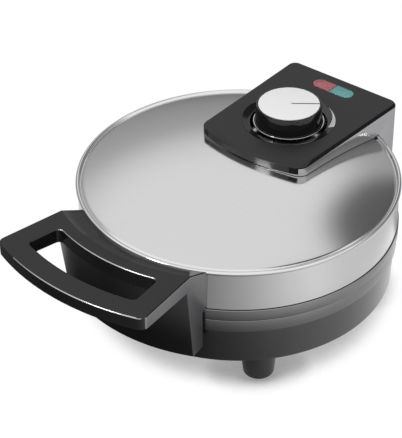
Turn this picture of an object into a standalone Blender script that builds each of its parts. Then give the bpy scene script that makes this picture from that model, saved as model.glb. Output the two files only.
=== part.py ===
# Round waffle cooker with a hinged lid, as separate pieces at real size.
# Metres, +Z up. The origin is on the table, under the middle of the whole cooker's box.
# The handle faces -Y and the hinge is at +Y. The casing is turned about one upright axis, the casing axis.
import math

import bmesh
import bpy
from mathutils import Matrix, Vector

# Clearances and cutting
GAP = 0.0003
PARTING_GAP = 0.0003
CUT_PAST = 0.002
ROUND_STEPS = 60
MID_STEPS = 32
SMALL_STEPS = 16
SCREW_STEPS = 10
HOLE_STEPS = 8
CORNER_STEPS = 4
WELD = GAP / 30
ALONG_X = Matrix.Rotation(math.radians(90), 3, "Y")
ALONG_Y = Matrix.Rotation(math.radians(-90), 3, "X")
SCREW_TOP_SHARE = 0.75

# Heights of the layers, from the table up
FOOT_HEIGHT = 0.0218
BASE_HEIGHT = 0.0297
BASE_RING_HEIGHT = 0.0102
LID_RING_HEIGHT = 0.0097
FOOT_TOP = FOOT_HEIGHT
BASE_TOP = FOOT_TOP + BASE_HEIGHT
PARTING = BASE_TOP + BASE_RING_HEIGHT
SKIRT_FOOT = PARTING + LID_RING_HEIGHT

# Steel lid cover
SKIRT_RADIUS = 0.118
SKIRT_TAPER = 0.001
SKIRT_HEIGHT = 0.0287
SHEET = 0.0008
BEAD_SIZE = 0.0016
BEAD_PROUD = 0.0018
DOME_SETBACK = 0.0054
DOME_RISE = 0.0106
DOME_STEPS = 6
DOME_FULLNESS = 2.4
SKIRT_TOP = SKIRT_FOOT + SKIRT_HEIGHT
SKIRT_TOP_RADIUS = SKIRT_RADIUS - SKIRT_TAPER
BEAD_RADIUS = SKIRT_TOP_RADIUS + BEAD_PROUD
BEAD_CENTRE = SKIRT_TOP + BEAD_SIZE
BEAD_TOP = BEAD_CENTRE + BEAD_SIZE
DOME_RADIUS = SKIRT_RADIUS - DOME_SETBACK
DOME_EDGE = BEAD_TOP - SHEET
CREST = DOME_EDGE + DOME_RISE

# Plastic rings at the parting line
LID_RING_PROUD = 0.0007
BASE_RING_SETBACK = 0.0007
RING_WALL = 0.003
RING_LEDGE = 0.0025
LEDGE_WIDTH = 0.0147
UPSTAND_HEIGHT = 0.010
UPSTAND_WALL = 0.0026
LID_RING_RADIUS = SKIRT_RADIUS + LID_RING_PROUD
BASE_RING_RADIUS = LID_RING_RADIUS - BASE_RING_SETBACK
LEDGE_RADIUS = LID_RING_RADIUS - LEDGE_WIDTH

# Black base body
BASE_SETBACK = 0.0015
BASE_TAPER = 0.0008
BASE_WALL = 0.0028
BASE_FLOOR = 0.0025
BASE_EDGE_ROUND = 0.003
BASE_TOP_RADIUS = BASE_RING_RADIUS - BASE_SETBACK
BASE_FOOT_RADIUS = BASE_TOP_RADIUS - BASE_TAPER

# Feet
FOOT_TOP_RADIUS = 0.013
FOOT_TIP_RADIUS = 0.0113
FOOT_TIP_ROUND = 0.0026
FOOT_INSET = 0.0155
FOOT_BEARING = 47.5
FOOT_SCREW_RADIUS = 0.0019
FOOT_SCREW_HEAD = 0.0038
FOOT_SCREW_HEAD_DEPTH = 0.0022
FOOT_RECESS = 0.0052
FOOT_SCREW_LENGTH = 0.0205
FOOT_BOSS_RADIUS = 0.0048
FOOT_BOSS_HEIGHT = 0.008
FOOT_SPREAD = BASE_FOOT_RADIUS - FOOT_INSET

# Waffle grids
CAVITY_DEPTH = 0.014
CAVITY_DRAFT = 0.003
LAND_WIDTH = 0.0085
GRID_WALL = 0.0032
GRID_FLOOR = 0.0028
FLANGE = 0.0025
FLANGE_REACH = 0.0043
PEG_PITCH = 0.022
PEG_FOOT = 0.0065
PEG_TIP = 0.0047
PEG_SHORTFALL = 0.0026
PEG_SINK = 0.0008
GRID_POST_RADIUS = 0.0035
GRID_POST_HEIGHT = 0.0085
GRID_POST_INSET = 0.018
LAND_RADIUS = LEDGE_RADIUS - GAP
CAVITY_RADIUS = LAND_RADIUS - LAND_WIDTH
FLANGE_RADIUS = LEDGE_RADIUS + FLANGE_REACH

# Heating elements and their reflector plates
ELEMENT_RADIUS = 0.0032
ELEMENT_INSET = 0.0192
ELEMENT_OPENING = 26
ELEMENT_LEG = 0.006
ELEMENT_STEPS = 28
REFLECTOR_SHEET = 0.001
REFLECTOR_INSET = 0.008
REFLECTOR_LIP = 0.004
ELEMENT_LOOP = CAVITY_RADIUS - GRID_POST_INSET - ELEMENT_INSET

# Base posts and their screws
POST_RADIUS = 0.0032
POST_BEARINGS = (12, 102, 192, 282)
SHELL_SCREW_RADIUS = 0.0014
SHELL_SCREW_HEAD = 0.003
SHELL_SCREW_HEAD_DEPTH = 0.002
SHELL_SCREW_BITE = 0.0015

# Hinge
HINGE_OUTSET = 0.0072
HINGE_DROP = 0.0052
HINGE_PIN_RADIUS = 0.0025
HINGE_BARREL_RADIUS = 0.0054
HINGE_EAR_RADIUS = 0.0064
HINGE_EAR_WIDTH = 0.009
HINGE_ARM_HALF = 0.0283
HINGE_WEB_DEPTH = 0.0045
HINGE_WEB_DROP = 0.0155
HINGE_EAR_REACH = 0.030
PIN_STAND_OUT = 0.002
CLIP_RADIUS = 0.0045
CLIP_THICKNESS = 0.0012
ARM_SCREW_SPREAD = 0.015
ARM_SCREW_RADIUS = 0.0016
ARM_SCREW_HEAD = 0.003
ARM_SCREW_HEAD_DEPTH = 0.002
ARM_SCREW_SHORTFALL = 0.0012
HINGE_Y = SKIRT_RADIUS + HINGE_OUTSET
HINGE_Z = SKIRT_FOOT - HINGE_DROP
EAR_INSIDE = HINGE_ARM_HALF + GAP
EAR_OUTSIDE = EAR_INSIDE + HINGE_EAR_WIDTH

# Handle and the shield below it
HANDLE_TOP_RISE = 0.0404
HANDLE_LIFT = 0.0021
COLLAR_WIDTH = 0.0175
COLLAR_DROP = 0.0085
HANDLE_LENGTH = 0.0531
HANDLE_REAR_HALF = 0.0597
HANDLE_REAR_REACH = 0.1227
HANDLE_FLARE = 7.5
HANDLE_CORNER_ROUND = 0.0062
HANDLE_BAR = 0.0171
HANDLE_ARM = 0.0168
HANDLE_BRIDGE = 0.0096
OPENING_ROUND = 0.0036
HANDLE_FRONT_THICKNESS = 0.0096
HANDLE_REAR_THICKNESS = 0.0110
SHIELD_TOP_REACH = 0.0048
SHIELD_LEAN = 0.0064
SHIELD_DROP = 0.0306
SHIELD_DRAFT = 0.0008
SHIELD_WALL = 0.003
SHIELD_CLEARANCE = 0.0045
HANDLE_ARC_STEPS = 14
HANDLE_BOSS_RADIUS = 0.0045
HANDLE_BOSS_SHARE = 0.48
HANDLE_SCREW_RISE = 0.0052
HANDLE_SCREW_RADIUS = 0.0018
HANDLE_SCREW_HEAD = 0.0036
HANDLE_SCREW_HEAD_DEPTH = 0.0022
HANDLE_SCREW_BITE = 0.009
HANDLE_TOP = SKIRT_FOOT + HANDLE_TOP_RISE
HANDLE_FRONT_TOP = HANDLE_TOP + HANDLE_LIFT
CREASE_RADIUS = BEAD_RADIUS + COLLAR_WIDTH
HANDLE_REACH = CREASE_RADIUS + HANDLE_LENGTH
OPENING_REAR = CREASE_RADIUS + HANDLE_BRIDGE
OPENING_FRONT = HANDLE_REACH - HANDLE_BAR
SHIELD_TOP_RADIUS = CREASE_RADIUS + SHIELD_TOP_REACH
SHIELD_FOOT_RADIUS = SHIELD_TOP_RADIUS - SHIELD_LEAN
SHIELD_FOOT = SKIRT_FOOT - SHIELD_DROP
SHIELD_INSIDE = LID_RING_RADIUS + SHIELD_CLEARANCE
HANDLE_BOSS_BEARING = math.degrees(math.asin(HANDLE_BOSS_SHARE * HANDLE_REAR_HALF / HANDLE_REAR_REACH))

# Control pod
POD_OVERHANG = 0.0142
POD_LENGTH = 0.1269
POD_REAR_HALF = 0.0506
POD_FRONT_HALF = 0.0474
POD_BULGE = 0.0094
POD_BULGE_STEPS = 10
POD_REAR_ROUND = 0.007
POD_FRONT_ROUND = 0.009
POD_WALL = 0.0022
POD_FOOT_RISE = 0.0009
FASCIA_RISE = 0.0491
FASCIA_EDGE = 0.0015
FASCIA_BEVEL_WIDTH = 0.0022
FASCIA_BEVEL_DROP = 0.0016
FASCIA_TOP_BULGE = 0.019
FASCIA_BAND = 0.0004
FASCIA_LIP = 0.0040
FASCIA_LIP_HALF = 0.044
FASCIA_PLATE = 0.0042
FASCIA_POST_RADIUS = 0.0035
FASCIA_POST_SPREAD = 0.030
FASCIA_POST_SETBACK = 0.042
FASCIA_SCREW_RADIUS = 0.0014
FASCIA_SCREW_HEAD = 0.003
FASCIA_SCREW_HEAD_DEPTH = 0.002
FASCIA_SCREW_BITE = 0.006
POD_REAR = SKIRT_RADIUS + POD_OVERHANG
FASCIA_TOP = SKIRT_FOOT + FASCIA_RISE
FASCIA_SHOULDER = FASCIA_TOP - FASCIA_BEVEL_DROP
FASCIA_SEAM = FASCIA_SHOULDER - FASCIA_BAND
FASCIA_FOOT = FASCIA_SHOULDER - FASCIA_LIP
FASCIA_UNDERSIDE = FASCIA_TOP - FASCIA_PLATE

# Dial, its dish and its thermostat
DIAL_SETBACK = 0.0722
DISH_RADIUS = 0.0360
DISH_FLOOR_RADIUS = 0.0290
DISH_DEPTH = 0.0022
DIAL_HOLE = 0.0040
KNOB_LIFT = 0.0005
KNOB_HEIGHT = 0.0153
KNOB_RADIUS = 0.0242
KNOB_FOOT_RADIUS = 0.0246
KNOB_BODY_STEPS = 40
TRIM_RADIUS = 0.0267
TRIM_HEIGHT = 0.0015
CAP_RADIUS = 0.0229
CAP_THICKNESS = 0.0012
CAP_PROUD = 0.0002
POINTER_WIDTH = 0.0009
POINTER_DEPTH = 0.0003
POINTER_START = 0.0020
POINTER_BEARING = 40.7
SHAFT_RADIUS = 0.0030
SHAFT_GRIP = 0.009
SHAFT_ENGAGEMENT = 0.009
BUSH_RADIUS = 0.0046
BUSH_CLEARANCE = 0.0010
THERMOSTAT_RADIUS = 0.0165
THERMOSTAT_HEIGHT = 0.014
DIAL_Y = POD_REAR - DIAL_SETBACK
DISH_FLOOR = FASCIA_TOP - DISH_DEPTH
KNOB_FOOT = DISH_FLOOR + KNOB_LIFT
KNOB_TOP = KNOB_FOOT + KNOB_HEIGHT

# Indicator lamps
LAMP_SETBACK = 0.0160
LAMP_LENGTH = 0.0366
LAMP_WIDTH = 0.0124
LENS_PROUD = 0.0004
LAMP_CASE_MARGIN = 0.0022
LAMP_CASE_DEPTH = 0.0085
LAMP_POCKET_DEPTH = 0.0065
NEON_RADIUS = 0.0024
NEON_INSET = 0.0012
LAMP_Y = POD_REAR - LAMP_SETBACK

# Cord gland, without a cord
GLAND_BEARING = -32
GLAND_DROP = 0.015
GLAND_NECK = 0.0058
GLAND_FLANGE = 0.0080
GLAND_FLANGE_DEPTH = 0.0022
GLAND_SPOUT = 0.0045
GLAND_BORE_WIDTH = 0.0082
GLAND_BORE_HEIGHT = 0.0038

# Terminal block on the base floor
TERMINAL_LENGTH = 0.034
TERMINAL_WIDTH = 0.016
TERMINAL_HEIGHT = 0.009
TERMINAL_SETBACK = 0.052
TERMINAL_SLOT = 0.003
TERMINAL_SLOT_DEPTH = 0.004

# The casing axis stands so that the handle and the pod reach equally far from the origin.
AXIS_Y = (HANDLE_REACH - POD_REAR) / 2
CASING_AXIS = Vector((0, AXIS_Y, 0))


# Mesh helpers. Every mesh is drawn about the casing axis and moved to it when the object is made.
def arc(radius, start, end, steps, centre=(0, 0)):
    """Points of an arc, angles in degrees from +X."""
    angles = [math.radians(start + (end - start) * i / steps) for i in range(steps + 1)]
    return [(centre[0] + radius * math.cos(a), centre[1] + radius * math.sin(a)) for a in angles]


def rounded(points, radii, steps=CORNER_STEPS):
    """A closed outline whose corners with a radius are replaced by arcs."""
    outline = []
    for i, (point, radius) in enumerate(zip(points, radii)):
        here = Vector(point)
        if not radius:
            outline.append(here.to_tuple())
            continue
        before = (Vector(points[i - 1]) - here).normalized()
        after = (Vector(points[(i + 1) % len(points)]) - here).normalized()
        half = before.angle(after) / 2
        centre = here + (before + after).normalized() * radius / math.sin(half)
        start = here + before * radius / math.tan(half) - centre
        turn = start.angle_signed(here + after * radius / math.tan(half) - centre)
        for step in range(steps + 1):
            outline.append((centre + Matrix.Rotation(-turn * step / steps, 2) @ start).to_tuple())
    return outline


def stadium(length, width, centre=(0, 0), steps=6):
    """An outline with two straight sides along X and two round ends."""
    half = (length - width) / 2
    right = arc(width / 2, -90, 90, steps, (centre[0] + half, centre[1]))
    return right + arc(width / 2, 90, 270, steps, (centre[0] - half, centre[1]))


def loft(sections):
    """A solid through plan outlines of as many points each, given with their heights."""
    mesh = bmesh.new()
    loops = [[mesh.verts.new((x, y, height)) for x, y in outline] for outline, height in sections]
    for low, high in zip(loops, loops[1:]):
        for i in range(len(low)):
            mesh.faces.new((low[i - 1], low[i], high[i], high[i - 1]))
    mesh.faces.new(loops[0])
    mesh.faces.new(loops[-1])
    bmesh.ops.recalc_face_normals(mesh, faces=mesh.faces)
    return mesh


def prism(outline, low, high, top_outline=None):
    """A plan outline raised from one height to another, perhaps to another outline of as many points."""
    return loft([(outline, low), (top_outline or outline, high)])


def turned(profile, steps=ROUND_STEPS, start=0, sweep=360, centre=(0, 0)):
    """A closed profile of (radius, height) turned about an upright line, right round or part of the way."""
    mesh = bmesh.new()
    verts = [mesh.verts.new((r, 0, z)) for r, z in profile]
    edges = [mesh.edges.new((a, verts[i - 1])) for i, a in enumerate(verts)]
    full = sweep == 360
    if not full:
        mesh.faces.new(verts)
    bmesh.ops.rotate(mesh, verts=verts, cent=(0, 0, 0), matrix=Matrix.Rotation(math.radians(start), 3, "Z"))
    section = edges if full else verts + edges + mesh.faces[:]
    bmesh.ops.spin(mesh, geom=section, cent=(0, 0, 0), axis=(0, 0, 1), dvec=(0, 0, 0),
                   angle=math.radians(sweep), steps=steps, use_merge=full)
    bmesh.ops.remove_doubles(mesh, verts=mesh.verts, dist=WELD)
    bmesh.ops.dissolve_degenerate(mesh, dist=WELD, edges=mesh.edges)
    bmesh.ops.translate(mesh, verts=mesh.verts, vec=(centre[0], centre[1], 0))
    bmesh.ops.recalc_face_normals(mesh, faces=mesh.faces)
    return mesh


def rod(radius, low, high, steps=SMALL_STEPS, centre=(0, 0)):
    """An upright cylinder."""
    return turned([(0, low), (radius, low), (radius, high), (0, high)], steps, centre=centre)


def laid(mesh, turn, place=(0, 0, 0)):
    """A mesh turned by a matrix about the casing axis' foot and then moved."""
    bmesh.ops.transform(mesh, matrix=Matrix.Translation(place) @ turn.to_4x4(), verts=mesh.verts)
    return mesh


def joined(meshes):
    """Several separate meshes in one, for a single boolean."""
    whole = bmesh.new()
    for mesh in meshes:
        scratch = bpy.data.meshes.new("scratch")
        mesh.to_mesh(scratch)
        mesh.free()
        whole.from_mesh(scratch)
        bpy.data.meshes.remove(scratch)
    return whole


def finish(name, mesh, look, axis=None):
    """Makes the named object from a mesh drawn about the casing axis."""
    bmesh.ops.translate(mesh, verts=mesh.verts, vec=CASING_AXIS)
    data = bpy.data.meshes.new(name)
    mesh.to_mesh(data)
    mesh.free()
    piece = bpy.data.objects.new(name, data)
    bpy.context.scene.collection.objects.link(piece)
    if look:
        data.materials.append(look)
        data.shade_smooth()
        data.set_sharp_from_angle(angle=math.radians(35))
    if axis:
        piece.parent = axis
        piece.matrix_parent_inverse = Matrix.Translation(-axis_place[axis.name])
    return piece


def combine(piece, tool, operation):
    """Cuts or adds a mesh or another piece, with an exact boolean that is applied at once."""
    if isinstance(tool, bmesh.types.BMesh):
        tool = finish("tool", tool, None)
    change = piece.modifiers.new(operation.lower(), "BOOLEAN")
    change.operation = operation
    change.solver = "EXACT"
    change.object = tool
    bpy.context.view_layer.update()
    result = bpy.data.meshes.new_from_object(piece.evaluated_get(bpy.context.evaluated_depsgraph_get()))
    piece.modifiers.remove(change)
    old = piece.data
    name = old.name
    piece.data = result
    bpy.data.meshes.remove(old)
    result.name = name
    tool_mesh = tool.data
    bpy.data.objects.remove(tool)
    bpy.data.meshes.remove(tool_mesh)
    result.shade_smooth()
    result.set_sharp_from_angle(angle=math.radians(35))
    return piece


def cut(piece, tool):
    return combine(piece, tool, "DIFFERENCE")


def add(piece, tool):
    return combine(piece, tool, "UNION")


def material(name, colour, roughness, metallic=0):
    look = bpy.data.materials.new(name)
    look.use_nodes = True
    shader = look.node_tree.nodes["Principled BSDF"]
    shader.inputs["Base Color"].default_value = (*colour, 1)
    shader.inputs["Roughness"].default_value = roughness
    shader.inputs["Metallic"].default_value = metallic
    return look


def screw(name, radius, head_radius, head_depth, length, turn, place, look, axis=None):
    """A pan head screw: its head's seat is at the place, and its shank runs along the turned +Z."""
    profile = [(0, -head_depth), (head_radius * SCREW_TOP_SHARE, -head_depth), (head_radius, -head_depth / 2),
               (head_radius, 0), (radius, 0), (radius, length), (0, length)]
    return finish(name, laid(turned(profile, SCREW_STEPS), turn, place), look, axis)


# Shapes shared by several pieces
def dome_height(radius):
    """Height of the cover's outer face at a distance from the casing axis."""
    share = min(abs(radius) / DOME_RADIUS, 1)
    return DOME_EDGE + DOME_RISE * (1 - share ** DOME_FULLNESS)


def skirt_outside(height):
    """The skirt's outer radius at a height."""
    return SKIRT_RADIUS - SKIRT_TAPER * (height - SKIRT_FOOT) / SKIRT_HEIGHT


def cover_outside(spare=0):
    """The cover's outer profile from the crest down to the skirt's foot, grown by a clearance."""
    radii = [DOME_RADIUS * i / DOME_STEPS for i in range(DOME_STEPS + 1)]
    dome = [(r, dome_height(r) + spare) for r in radii]
    bead_middle = BEAD_RADIUS - BEAD_SIZE
    bead = arc(BEAD_SIZE + spare, 110, -70, 5, (bead_middle, BEAD_CENTRE))
    neck = (SKIRT_TOP_RADIUS + spare, SKIRT_TOP - spare)
    return dome + bead + [neck, (SKIRT_RADIUS + spare, SKIRT_FOOT)]


def casing_envelope(spare, low_radius):
    """A solid of all that the cover and the rings fill, for pieces that fit round them."""
    under = FOOT_TOP - CUT_PAST
    profile = cover_outside(spare) + [(low_radius, SKIRT_FOOT - GAP), (low_radius, under), (0, under)]
    return turned(profile, ROUND_STEPS)


def round_place(radius, bearing):
    """A point on a circle round the casing axis; bearing 0 is the front and 90 is +X."""
    return radius * math.sin(math.radians(bearing)), -radius * math.cos(math.radians(bearing))


# Waffle grids
def waffle_pegs():
    """Square tapered pegs on a square pitch, as far as they fit inside the cavity's foot."""
    pegs = []
    reach = CAVITY_RADIUS - CAVITY_DRAFT - PEG_FOOT / 2
    count = math.ceil(CAVITY_RADIUS / PEG_PITCH)
    for i in range(-count, count):
        for j in range(-count, count):
            x, y = (i + 0.5) * PEG_PITCH, (j + 0.5) * PEG_PITCH
            if math.hypot(abs(x) + PEG_FOOT / 2, abs(y) + PEG_FOOT / 2) > reach:
                continue
            corners = [(-1, -1), (1, -1), (1, 1), (-1, 1)]
            foot = [(x + PEG_FOOT * a, y + PEG_FOOT * b) for a, b in corners]
            tip = [(x + PEG_TIP * a, y + PEG_TIP * b) for a, b in corners]
            pegs.append(prism(foot, -CAVITY_DEPTH - PEG_SINK, -PEG_SHORTFALL, tip))
    return joined(pegs)


def waffle_grid(name, upwards, look, axis=None):
    """One cast grid, drawn as the lower one below height 0 and turned over for the upper one."""
    land = -PARTING_GAP / 2
    flange_top = -RING_LEDGE - GAP
    back = -CAVITY_DEPTH - GRID_FLOOR
    profile = [(0, -CAVITY_DEPTH), (CAVITY_RADIUS - CAVITY_DRAFT, -CAVITY_DEPTH), (CAVITY_RADIUS, land),
               (LAND_RADIUS, land), (LAND_RADIUS, flange_top), (FLANGE_RADIUS, flange_top),
               (FLANGE_RADIUS, flange_top - FLANGE), (CAVITY_RADIUS + GRID_WALL, flange_top - FLANGE),
               (CAVITY_RADIUS + GRID_WALL - CAVITY_DRAFT, back), (0, back)]
    turn = Matrix.Rotation(math.radians(180), 3, "Y") if upwards else Matrix.Identity(3)
    place = (0, 0, PARTING)
    grid = finish(name, laid(turned(profile), turn, place), look, axis)
    add(grid, laid(waffle_pegs(), turn, place))
    posts = []
    for bearing in (45, 135, 225, 315):
        at = round_place(CAVITY_RADIUS - GRID_POST_INSET, bearing)
        posts.append(rod(GRID_POST_RADIUS, back - GRID_POST_HEIGHT, back + PEG_SINK, centre=at))
    add(grid, laid(joined(posts), turn, place))
    return grid


def heating_element(name, upwards, look, axis=None):
    """A tubular element: an open loop lying on the grid's back, with two legs that turn away from it."""
    back = CAVITY_DEPTH + GRID_FLOOR
    depth = back + GAP + ELEMENT_RADIUS
    side = 1 if upwards else -1
    loop = arc(ELEMENT_LOOP, 90 + ELEMENT_OPENING / 2, 450 - ELEMENT_OPENING / 2, ELEMENT_STEPS)
    height = PARTING + side * depth
    points = [(x, y + AXIS_Y, height) for x, y in loop]
    leg = side * (ELEMENT_RADIUS + ELEMENT_LEG) / 2
    inward = ELEMENT_LOOP - ELEMENT_LEG
    for bearing in (90 + ELEMENT_OPENING / 2, 450 - ELEMENT_OPENING / 2):
        x, y = arc(inward, bearing, bearing, 1)[0]
        points = points[::-1] + [(x, y + AXIS_Y, height), (x, y + AXIS_Y, height + leg)]
    curve = bpy.data.curves.new(name, "CURVE")
    curve.dimensions = "3D"
    curve.bevel_depth = ELEMENT_RADIUS
    curve.bevel_resolution = 1
    curve.use_fill_caps = True
    run = curve.splines.new("POLY")
    run.points.add(len(points) - 1)
    for point, place in zip(run.points, points):
        point.co = (*place, 1)
    curve.materials.append(look)
    piece = bpy.data.objects.new(name, curve)
    bpy.context.scene.collection.objects.link(piece)
    if axis:
        piece.parent = axis
        piece.matrix_parent_inverse = Matrix.Translation(-axis_place[axis.name])
    return piece


def reflector(name, upwards, look, axis=None):
    """A shallow pressed plate that stands on the grid's posts, behind the element."""
    depth = CAVITY_DEPTH + GRID_FLOOR + GRID_POST_HEIGHT + GAP
    outer = CAVITY_RADIUS - REFLECTOR_INSET
    profile = [(0, -depth), (outer, -depth), (outer + REFLECTOR_LIP / 2, -depth + REFLECTOR_LIP),
               (outer + REFLECTOR_LIP / 2 + REFLECTOR_SHEET, -depth + REFLECTOR_LIP),
               (outer + REFLECTOR_SHEET, -depth - REFLECTOR_SHEET), (0, -depth - REFLECTOR_SHEET)]
    turn = Matrix.Rotation(math.radians(180), 3, "Y") if upwards else Matrix.Identity(3)
    return finish(name, laid(turned(profile, MID_STEPS), turn, (0, 0, PARTING)), look, axis)


# Base
def base_shell(look):
    floor, top = FOOT_TOP, BASE_TOP - GAP
    profile = [(0, floor), (BASE_FOOT_RADIUS - BASE_EDGE_ROUND, floor)]
    edge_centre = (BASE_FOOT_RADIUS - BASE_EDGE_ROUND, floor + BASE_EDGE_ROUND)
    profile += arc(BASE_EDGE_ROUND, -60, -30, 1, edge_centre)
    inner_foot = BASE_FOOT_RADIUS - BASE_WALL
    profile += [(BASE_FOOT_RADIUS, floor + BASE_EDGE_ROUND), (BASE_TOP_RADIUS, top),
                (BASE_TOP_RADIUS - BASE_WALL, top), (inner_foot, floor + BASE_FLOOR + BASE_EDGE_ROUND),
                (inner_foot - BASE_EDGE_ROUND, floor + BASE_FLOOR), (0, floor + BASE_FLOOR)]
    shell = finish("base_shell", turned(profile), look)
    post_top = PARTING - RING_LEDGE - GAP - FLANGE - GAP
    posts = [rod(POST_RADIUS, floor + BASE_FLOOR / 2, post_top, SCREW_STEPS, round_place(POST_SPREAD, b))
             for b in POST_BEARINGS]
    boss_top = floor + BASE_FLOOR + FOOT_BOSS_HEIGHT
    bosses = [rod(FOOT_BOSS_RADIUS, floor + BASE_FLOOR / 2, boss_top, SCREW_STEPS,
                  round_place(FOOT_SPREAD, b)) for b in FOOT_BEARINGS]
    add(shell, joined(posts + bosses))
    for side in (-1, 1):
        add(shell, hinge_ear(side))
    holes = [rod(SHELL_SCREW_RADIUS + GAP, floor - CUT_PAST, post_top + CUT_PAST, HOLE_STEPS,
                 round_place(POST_SPREAD, b)) for b in POST_BEARINGS]
    boss_hole_top = FOOT_RECESS + FOOT_SCREW_LENGTH + GAP
    holes += [rod(FOOT_SCREW_RADIUS + GAP, floor - CUT_PAST, boss_hole_top, HOLE_STEPS,
                  round_place(FOOT_SPREAD, b)) for b in FOOT_BEARINGS]
    cut(shell, joined(holes))
    pin_hole = laid(rod(HINGE_PIN_RADIUS + GAP, -EAR_OUTSIDE - CUT_PAST, EAR_OUTSIDE + CUT_PAST), ALONG_X,
                    (0, HINGE_Y, HINGE_Z))
    cut(shell, pin_hole)
    cut(shell, on_rear_wall(rod(GLAND_NECK + GAP, -CUT_PAST - BASE_WALL, GLAND_FLANGE_DEPTH + CUT_PAST)))
    return shell


def hinge_ear(side):
    """A lug that rises behind the rings from the shell's rear wall to the hinge pin."""
    rear = HINGE_Y + HINGE_WEB_DEPTH
    front = LID_RING_RADIUS + GAP
    root = BASE_TOP_RADIUS - BASE_WALL / 2
    under = BASE_TOP - 2 * GAP
    foot = HINGE_Z - HINGE_EAR_REACH
    tip = arc(HINGE_EAR_RADIUS, -45, 180, 8, (HINGE_Y, HINGE_Z))
    outline = [(rear, HINGE_Z - HINGE_WEB_DROP)] + tip + [(front, under), (root_y(root), under),
                                                         (root_y(root), foot)]
    near, far = sorted((side * EAR_INSIDE, side * EAR_OUTSIDE))
    ear = prism([(z, y) for y, z in outline], near, far)
    swap = Matrix(((0, 0, 1), (0, 1, 0), (1, 0, 0)))
    bmesh.ops.transform(ear, matrix=swap.to_4x4(), verts=ear.verts)
    bmesh.ops.recalc_face_normals(ear, faces=ear.faces)
    return ear


def root_y(radius):
    """How far back a circle round the casing axis lies beside the hinge ears' outer faces."""
    return math.sqrt(radius ** 2 - EAR_OUTSIDE ** 2)


def base_ring(look):
    low, top = BASE_TOP, PARTING - PARTING_GAP / 2
    profile = [(BASE_RING_RADIUS, low), (BASE_RING_RADIUS, top), (LEDGE_RADIUS, top),
               (LEDGE_RADIUS, PARTING - RING_LEDGE), (BASE_RING_RADIUS - RING_WALL, PARTING - RING_LEDGE),
               (BASE_RING_RADIUS - RING_WALL, low)]
    return finish("base_ring", turned(profile), look)


def foot(name, bearing, look):
    at = round_place(FOOT_SPREAD, bearing)
    tip = arc(FOOT_TIP_ROUND, -90, -10, 3, (FOOT_TIP_RADIUS - FOOT_TIP_ROUND, FOOT_TIP_ROUND))
    hole = FOOT_SCREW_RADIUS + GAP
    recess = FOOT_SCREW_HEAD + GAP
    top = FOOT_TOP - GAP
    bore = [(hole, top), (hole, FOOT_RECESS), (recess, FOOT_RECESS)]
    profile = [(recess, 0)] + tip + [(FOOT_TOP_RADIUS, top)] + bore
    return finish(name, turned(profile, SMALL_STEPS, centre=at), look)


def cord_gland(look):
    """A flanged bushing in the rear wall, with a flat oval bore."""
    spout = GLAND_FLANGE_DEPTH + GLAND_SPOUT
    profile = [(0, -BASE_WALL), (GLAND_NECK, -BASE_WALL), (GLAND_NECK, GAP), (GLAND_FLANGE, GAP),
               (GLAND_FLANGE, GLAND_FLANGE_DEPTH), (GLAND_NECK, GLAND_FLANGE_DEPTH), (GLAND_NECK, spout),
               (0, spout)]
    gland = finish("cord_gland", on_rear_wall(turned(profile, SMALL_STEPS)), look)
    slot = stadium(GLAND_BORE_WIDTH, GLAND_BORE_HEIGHT, steps=4)
    bore = prism(slot, -BASE_WALL - CUT_PAST, spout + CUT_PAST)
    cut(gland, on_rear_wall(bore))
    return gland


def on_rear_wall(mesh):
    """Places a mesh drawn along +Z so that its height 0 is the base's rear wall at the gland."""
    height = BASE_TOP - GLAND_DROP
    share = (height - FOOT_TOP) / BASE_HEIGHT
    wall = BASE_FOOT_RADIUS + BASE_TAPER * share
    laid(mesh, ALONG_Y, (0, wall, height))
    return laid(mesh, Matrix.Rotation(math.radians(-GLAND_BEARING), 3, "Z"))


def terminal_block(look):
    low = FOOT_TOP + BASE_FLOOR + GAP
    half, depth = TERMINAL_LENGTH / 2, TERMINAL_WIDTH / 2
    middle = TERMINAL_SETBACK
    box = [(-half, middle - depth), (half, middle - depth), (half, middle + depth), (-half, middle + depth)]
    block = finish("terminal_block", prism(box, low, low + TERMINAL_HEIGHT), look)
    slots = []
    for side in (-1, 1):
        x = side * half / 2
        wide = TERMINAL_SLOT / 2
        slot = [(x - wide, middle - depth - CUT_PAST), (x + wide, middle - depth - CUT_PAST),
                (x + wide, middle + depth + CUT_PAST), (x - wide, middle + depth + CUT_PAST)]
        slots.append(prism(slot, low + TERMINAL_HEIGHT - TERMINAL_SLOT_DEPTH,
                           low + TERMINAL_HEIGHT + CUT_PAST))
    return cut(block, joined(slots))


# Lid
def lid_cover(look, axis):
    inner_bead = SKIRT_TOP_RADIUS - SHEET
    inside = [(SKIRT_RADIUS - SHEET, SKIRT_FOOT), (inner_bead, SKIRT_TOP),
              (inner_bead - BEAD_SIZE, DOME_EDGE - SHEET)]
    radii = [DOME_RADIUS * i / DOME_STEPS for i in range(DOME_STEPS, -1, -1)]
    inside += [(r, dome_height(r) - SHEET) for r in radii]
    cover = finish("lid_cover", turned(cover_outside() + inside), look, axis)
    holes = [rod(BUSH_RADIUS + BUSH_CLEARANCE, DOME_EDGE - DOME_RISE, CREST + CUT_PAST, centre=(0, DIAL_Y))]
    for side in (-1, 1):
        place = (side * FASCIA_POST_SPREAD, POD_REAR - FASCIA_POST_SETBACK)
        holes.append(rod(FASCIA_SCREW_RADIUS + GAP, DOME_EDGE - DOME_RISE, CREST + CUT_PAST, SCREW_STEPS,
                         place))
        holes.append(handle_screw_hole(side))
    return cut(cover, joined(holes))


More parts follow.
